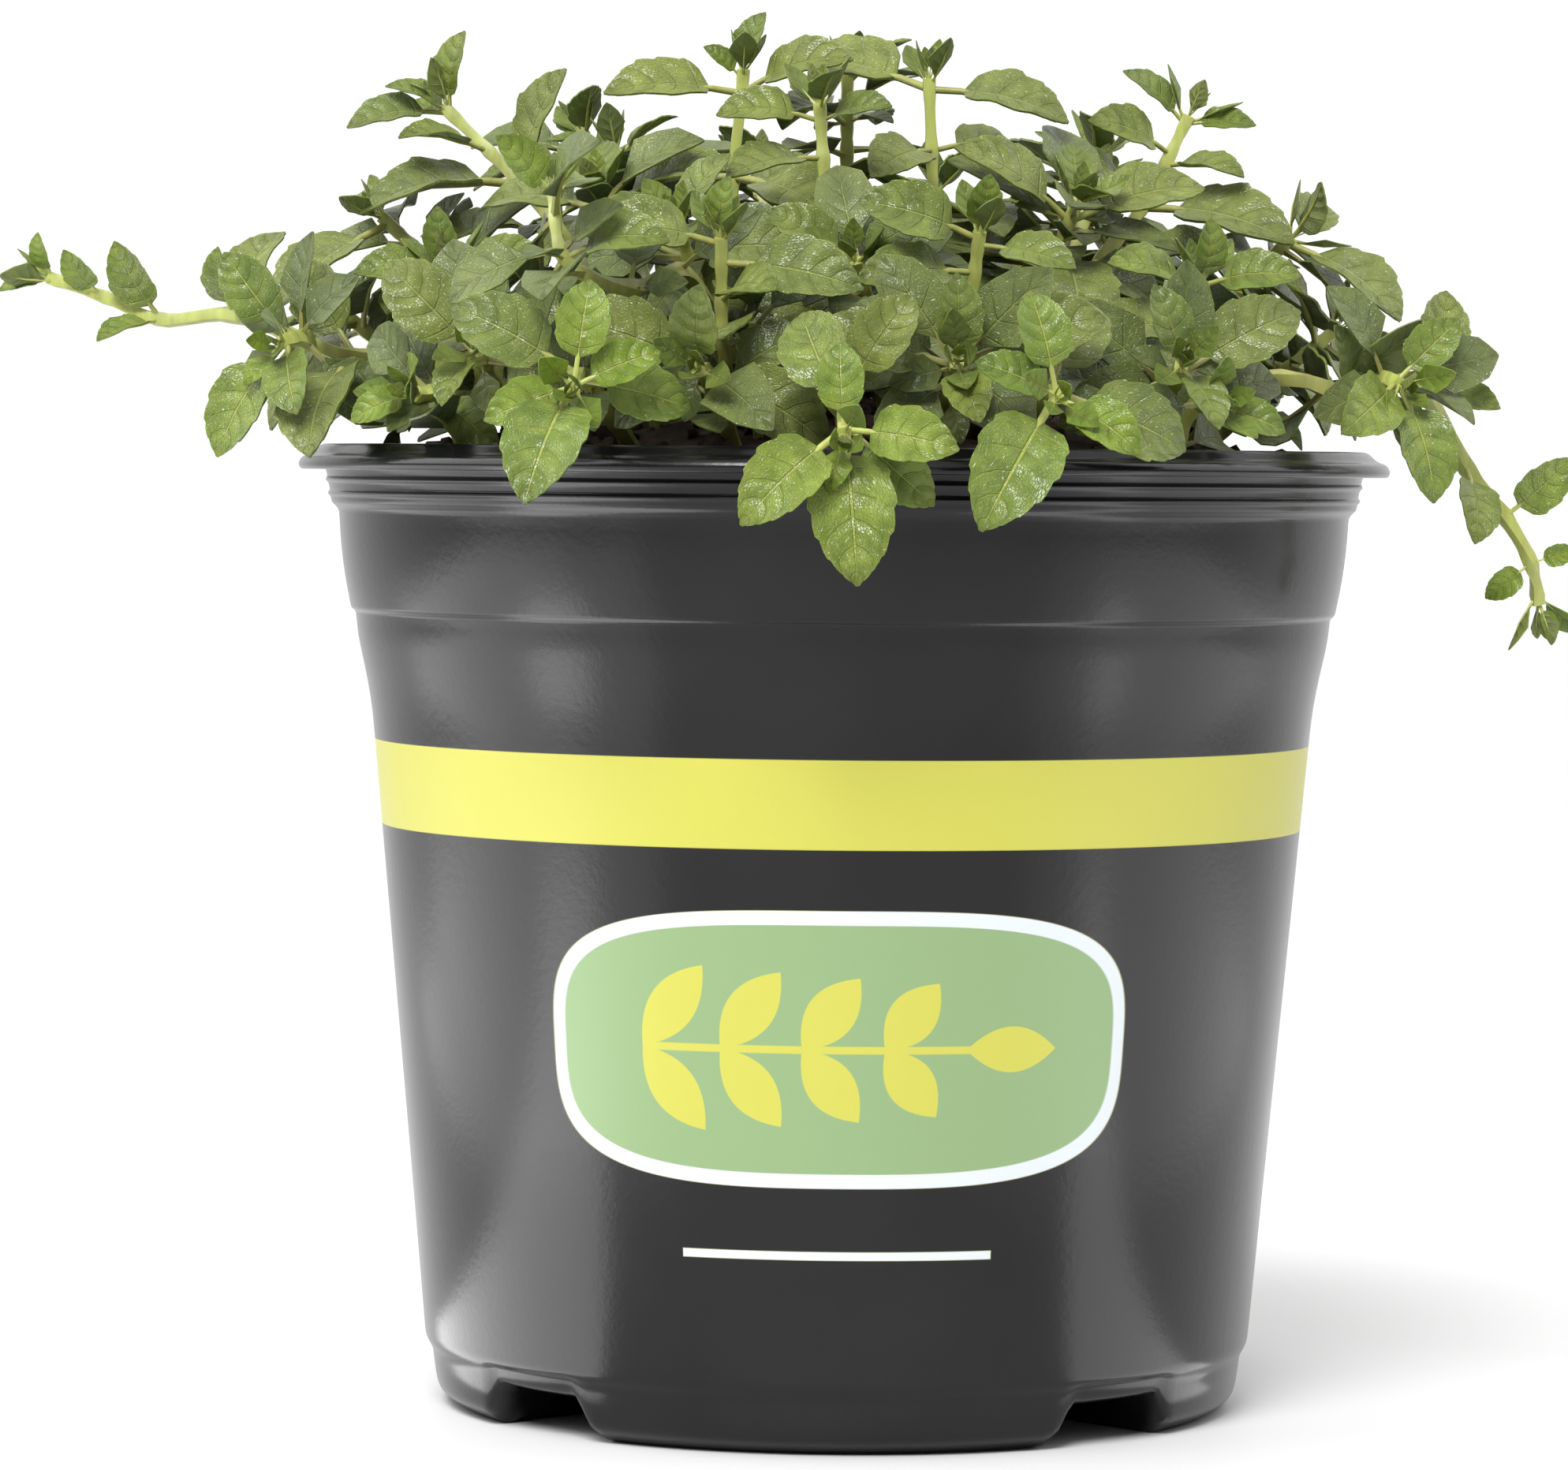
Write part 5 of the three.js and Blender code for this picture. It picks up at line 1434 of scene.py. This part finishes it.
# %% [markdown]
# Close to the soil stand short shoots that came up late. They are tried at random places of the mound, and
# grow where nothing else stands.

# %% Low shoots
LOW_TRIES = 90
LOW_REACH, LOW_LEAN, LOW_DEPTH, LOW_APART, LOW_YOUTH = 50, 0.35, 2, 1.6, 0.2
LOW_HEIGHT, MORE_LOW_HEIGHT = 7, 12
LOW_PLACES, LOW_LENGTHS = (0.95, 0.7, 0.45), (5, 9.5)
LOW_SAMPLES = np.linspace(0.3, 1, 8)

low_shoots = []
for _ in range(LOW_TRIES):
    reach, angle = LOW_REACH * math.sqrt(next(little)), 2 * math.pi * next(little)
    x, y = reach * math.cos(angle), reach * math.sin(angle)
    tall = LOW_HEIGHT + MORE_LOW_HEIGHT * next(little)
    lean_x, lean_y = LOW_LEAN * x / LOW_REACH, LOW_LEAN * y / LOW_REACH
    foot = float(soil_height(x, y)) - LOW_DEPTH
    path = np.array([
        (x, y, foot),
        (x + lean_x * tall / 2, y + lean_y * tall / 2, foot + LOW_DEPTH + tall / 2),
        (x + lean_x * tall, y + lean_y * tall, foot + LOW_DEPTH + tall),
    ])
    stem = mint("low_shoot", path, young=LOW_YOUTH, fused_to=f"low_{len(low_shoots)}")
    points = point_on(path, LOW_SAMPLES)
    free = np.ones(len(points), bool)
    if is_clear(points, free, stem.owner, LOW_APART):
        take(points, free, stem.owner)
        low_shoots.append(stem)
low_plans = shaded_plans_on(low_shoots, LOW_LENGTHS, LOW_PLACES)
grown = grow(low_plans, LITTLE_APART, LITTLE_OWN_APART, LITTLE_SWINGS)
print("low shoots:", len(low_shoots), "leaves on them:", grown)

# %% [markdown]
# A shoot grew as one, so its stem and all its leaves are joined into one piece, which takes the place of its
# plain solid. The low shoots have no solid, and those on each side of the pot are joined into one piece.

# %% Make every shoot
for name in sorted({stem.owner for stem in bush}):
    members = [stem for stem in bush if stem.owner == name]
    pieces = [laid_stem(stem) for stem in members]
    pieces += [laid_leaf(leaf, stem) for stem in members for leaf in stem.leaves]
    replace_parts(joined(f"{name}_shoot", pieces), f"mint_{name}")

SECTORS = {"front": (0, -1), "right": (1, 0), "back": (0, 1), "left": (-1, 0)}
LOW_WIDTH = 0.7
sectors = {sector: [] for sector in SECTORS}
for stem in low_shoots:
    x, y = stem.path[0][:2]
    sectors[max(SECTORS, key=lambda sector: x * SECTORS[sector][0] + y * SECTORS[sector][1])].append(stem)
for sector, members in sectors.items():
    pieces = [laid_stem(stem, LOW_WIDTH) for stem in members if stem.leaves]
    pieces += [laid_leaf(leaf, stem) for stem in members for leaf in stem.leaves]
    joined(f"low_shoots_{sector}", pieces)
for template in (large_leaf, middle_leaf, small_leaf, bud_leaf, square_stem):
    bpy.data.objects.remove(template)
triangles = sum(len(p.vertices) - 2 for o in bpy.data.objects if o.get("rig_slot") for p in o.data.polygons)
print("triangles in all:", triangles)

# %% [markdown]
# ## Floor and light
# The photograph was taken in soft, even light on white. A white world gives that even light, and a soft sun
# from above and in front gives the plant its shape, with a large soft lamp on each side. Glossy black
# plastic shows hardly any colour of its own, but it mirrors what stands round it. The long pale streaks
# down its sides are reflections of the bright table. So lamps that lie on the floor stand for brightly lit
# stretches of it. They are hidden from the camera and from diffuse light, and only the reflections see
# them.

# %% Floor
deselect_all()
bpy.ops.mesh.primitive_plane_add(size=12)
floor = bpy.context.object
floor.name = floor.data.name = "pale_floor"
paper, tree, shader, here = new_material("pale_floor", Roughness=0.6)
grey, paler_grey = (0.6, 0.6, 0.6, 1), (0.64, 0.64, 0.64, 1)
feed(shader.inputs["Base Color"], mixed(noise(here, 3), grey, paler_grey))
floor.data.materials.append(paper)
floor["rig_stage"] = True
print("floor:", [round(size, 1) for size in floor.dimensions], "m")

# %% Light
FRONT_WHITE, FULL_WHITE, TOP_SHARE = 0.24, 1.05, 0.7  # the world in front, behind, and above

world = bpy.data.worlds.new("white_studio")
bpy.context.scene.world = world
world.use_nodes = True
background = next(n for n in world.node_tree.nodes if n.type == "BACKGROUND")
direction = node(world.node_tree, "ShaderNodeTexCoord").outputs["Generated"]
direction = node(world.node_tree, "ShaderNodeSeparateXYZ", {"Vector": direction}).outputs
behind = ramp(direction["Y"], 0.1, 0.6)
above = product(ramp(direction["Z"], 0.15, 0.9), TOP_SHARE)
white = calc("MULTIPLY_ADD", calc("MAXIMUM", behind, above), FULL_WHITE - FRONT_WHITE, FRONT_WHITE)
feed(background.inputs["Strength"], white)
background.inputs["Color"].default_value = (1, 1, 1, 1)


def soft_lamp(name, size, strength, place):
    """A rectangular lamp that shines along its own -Z, as bright as a white wall times its strength."""
    data = bpy.data.lights.new(name, "AREA")
    data.shape = "RECTANGLE"
    data.size, data.size_y = size
    data.energy = strength * math.pi * size[0] * size[1]
    lamp = bpy.data.objects.new(name, data)
    bpy.context.scene.collection.objects.link(lamp)
    lamp.matrix_world = place
    lamp.visible_camera = False
    return lamp


def softbox(name, angle, away, height, size, strength):
    """A lamp that faces the pot. It stands at an angle round it: 0 is the camera's side, and 90 the right."""
    spot = Matrix.Rotation(math.radians(angle), 3, "Z") @ Vector((0, -away, height))
    facing = (spot - Vector((0, 0, CROWN_Z * MM))).to_track_quat("Z", "Y").to_matrix().to_4x4()
    soft_lamp(name, size, strength, Matrix.Translation(spot) @ facing)


def bright_table(name, angle, along, across, strength):
    """A bright stretch of the table, along a line that leaves the pot at an angle, and across it."""
    place = Matrix.Translation((sum(across) / 2, -sum(along) / 2, 2 * MM)) @ Matrix.Rotation(math.pi, 4, "X")
    place = Matrix.Rotation(math.radians(angle), 4, "Z") @ place
    lamp = soft_lamp(name, (across[1] - across[0], along[1] - along[0]), strength, place)
    lamp.visible_diffuse = False


softbox("left_softbox", angle=-86, away=0.4, height=0.38, size=(0.5, 0.4), strength=2.8)
softbox("right_softbox", angle=98, away=0.4, height=0.38, size=(0.4, 0.4), strength=1.7)
bright_table("left_table", -62, along=(0.047, 0.3), across=(-0.05, 0.02), strength=3.3)
bright_table("left_table_far", -66, along=(0.13, 0.75), across=(-0.28, 0.02), strength=1.6)
bright_table("left_table_front", -48, along=(0.13, 0.75), across=(-0.45, 0.03), strength=0.9)
bright_table("right_table", 62, along=(0.047, 0.3), across=(-0.02, 0.012), strength=2.0)
bright_table("right_table_far", 62, along=(0.13, 0.7), across=(-0.04, 0.25), strength=1.0)
bright_table("right_table_front", 50, along=(0.13, 0.7), across=(-0.03, 0.35), strength=0.4)
sun_data = bpy.data.lights.new("soft_top_light", "SUN")
sun_data.energy = 3.8
sun_data.angle = math.radians(28)
sun = bpy.data.objects.new("soft_top_light", sun_data)
bpy.context.scene.collection.objects.link(sun)
sun.matrix_world = Vector((-0.2, -0.85, 0.95)).to_track_quat("Z", "Y").to_matrix().to_4x4()
bpy.context.scene.view_settings.view_transform = "Standard"

# %% [markdown]
# ## Last check and finish
# The fine model has to keep the size of its frame, so both boxes are written down side by side.


# %% Sizes
def as_lists(box):
    return [list(map(float, corner)) for corner in box]


visual_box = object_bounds()
sizes = {"cad": as_lists(cad_box), "visual": as_lists(visual_box)}
print(sizes)
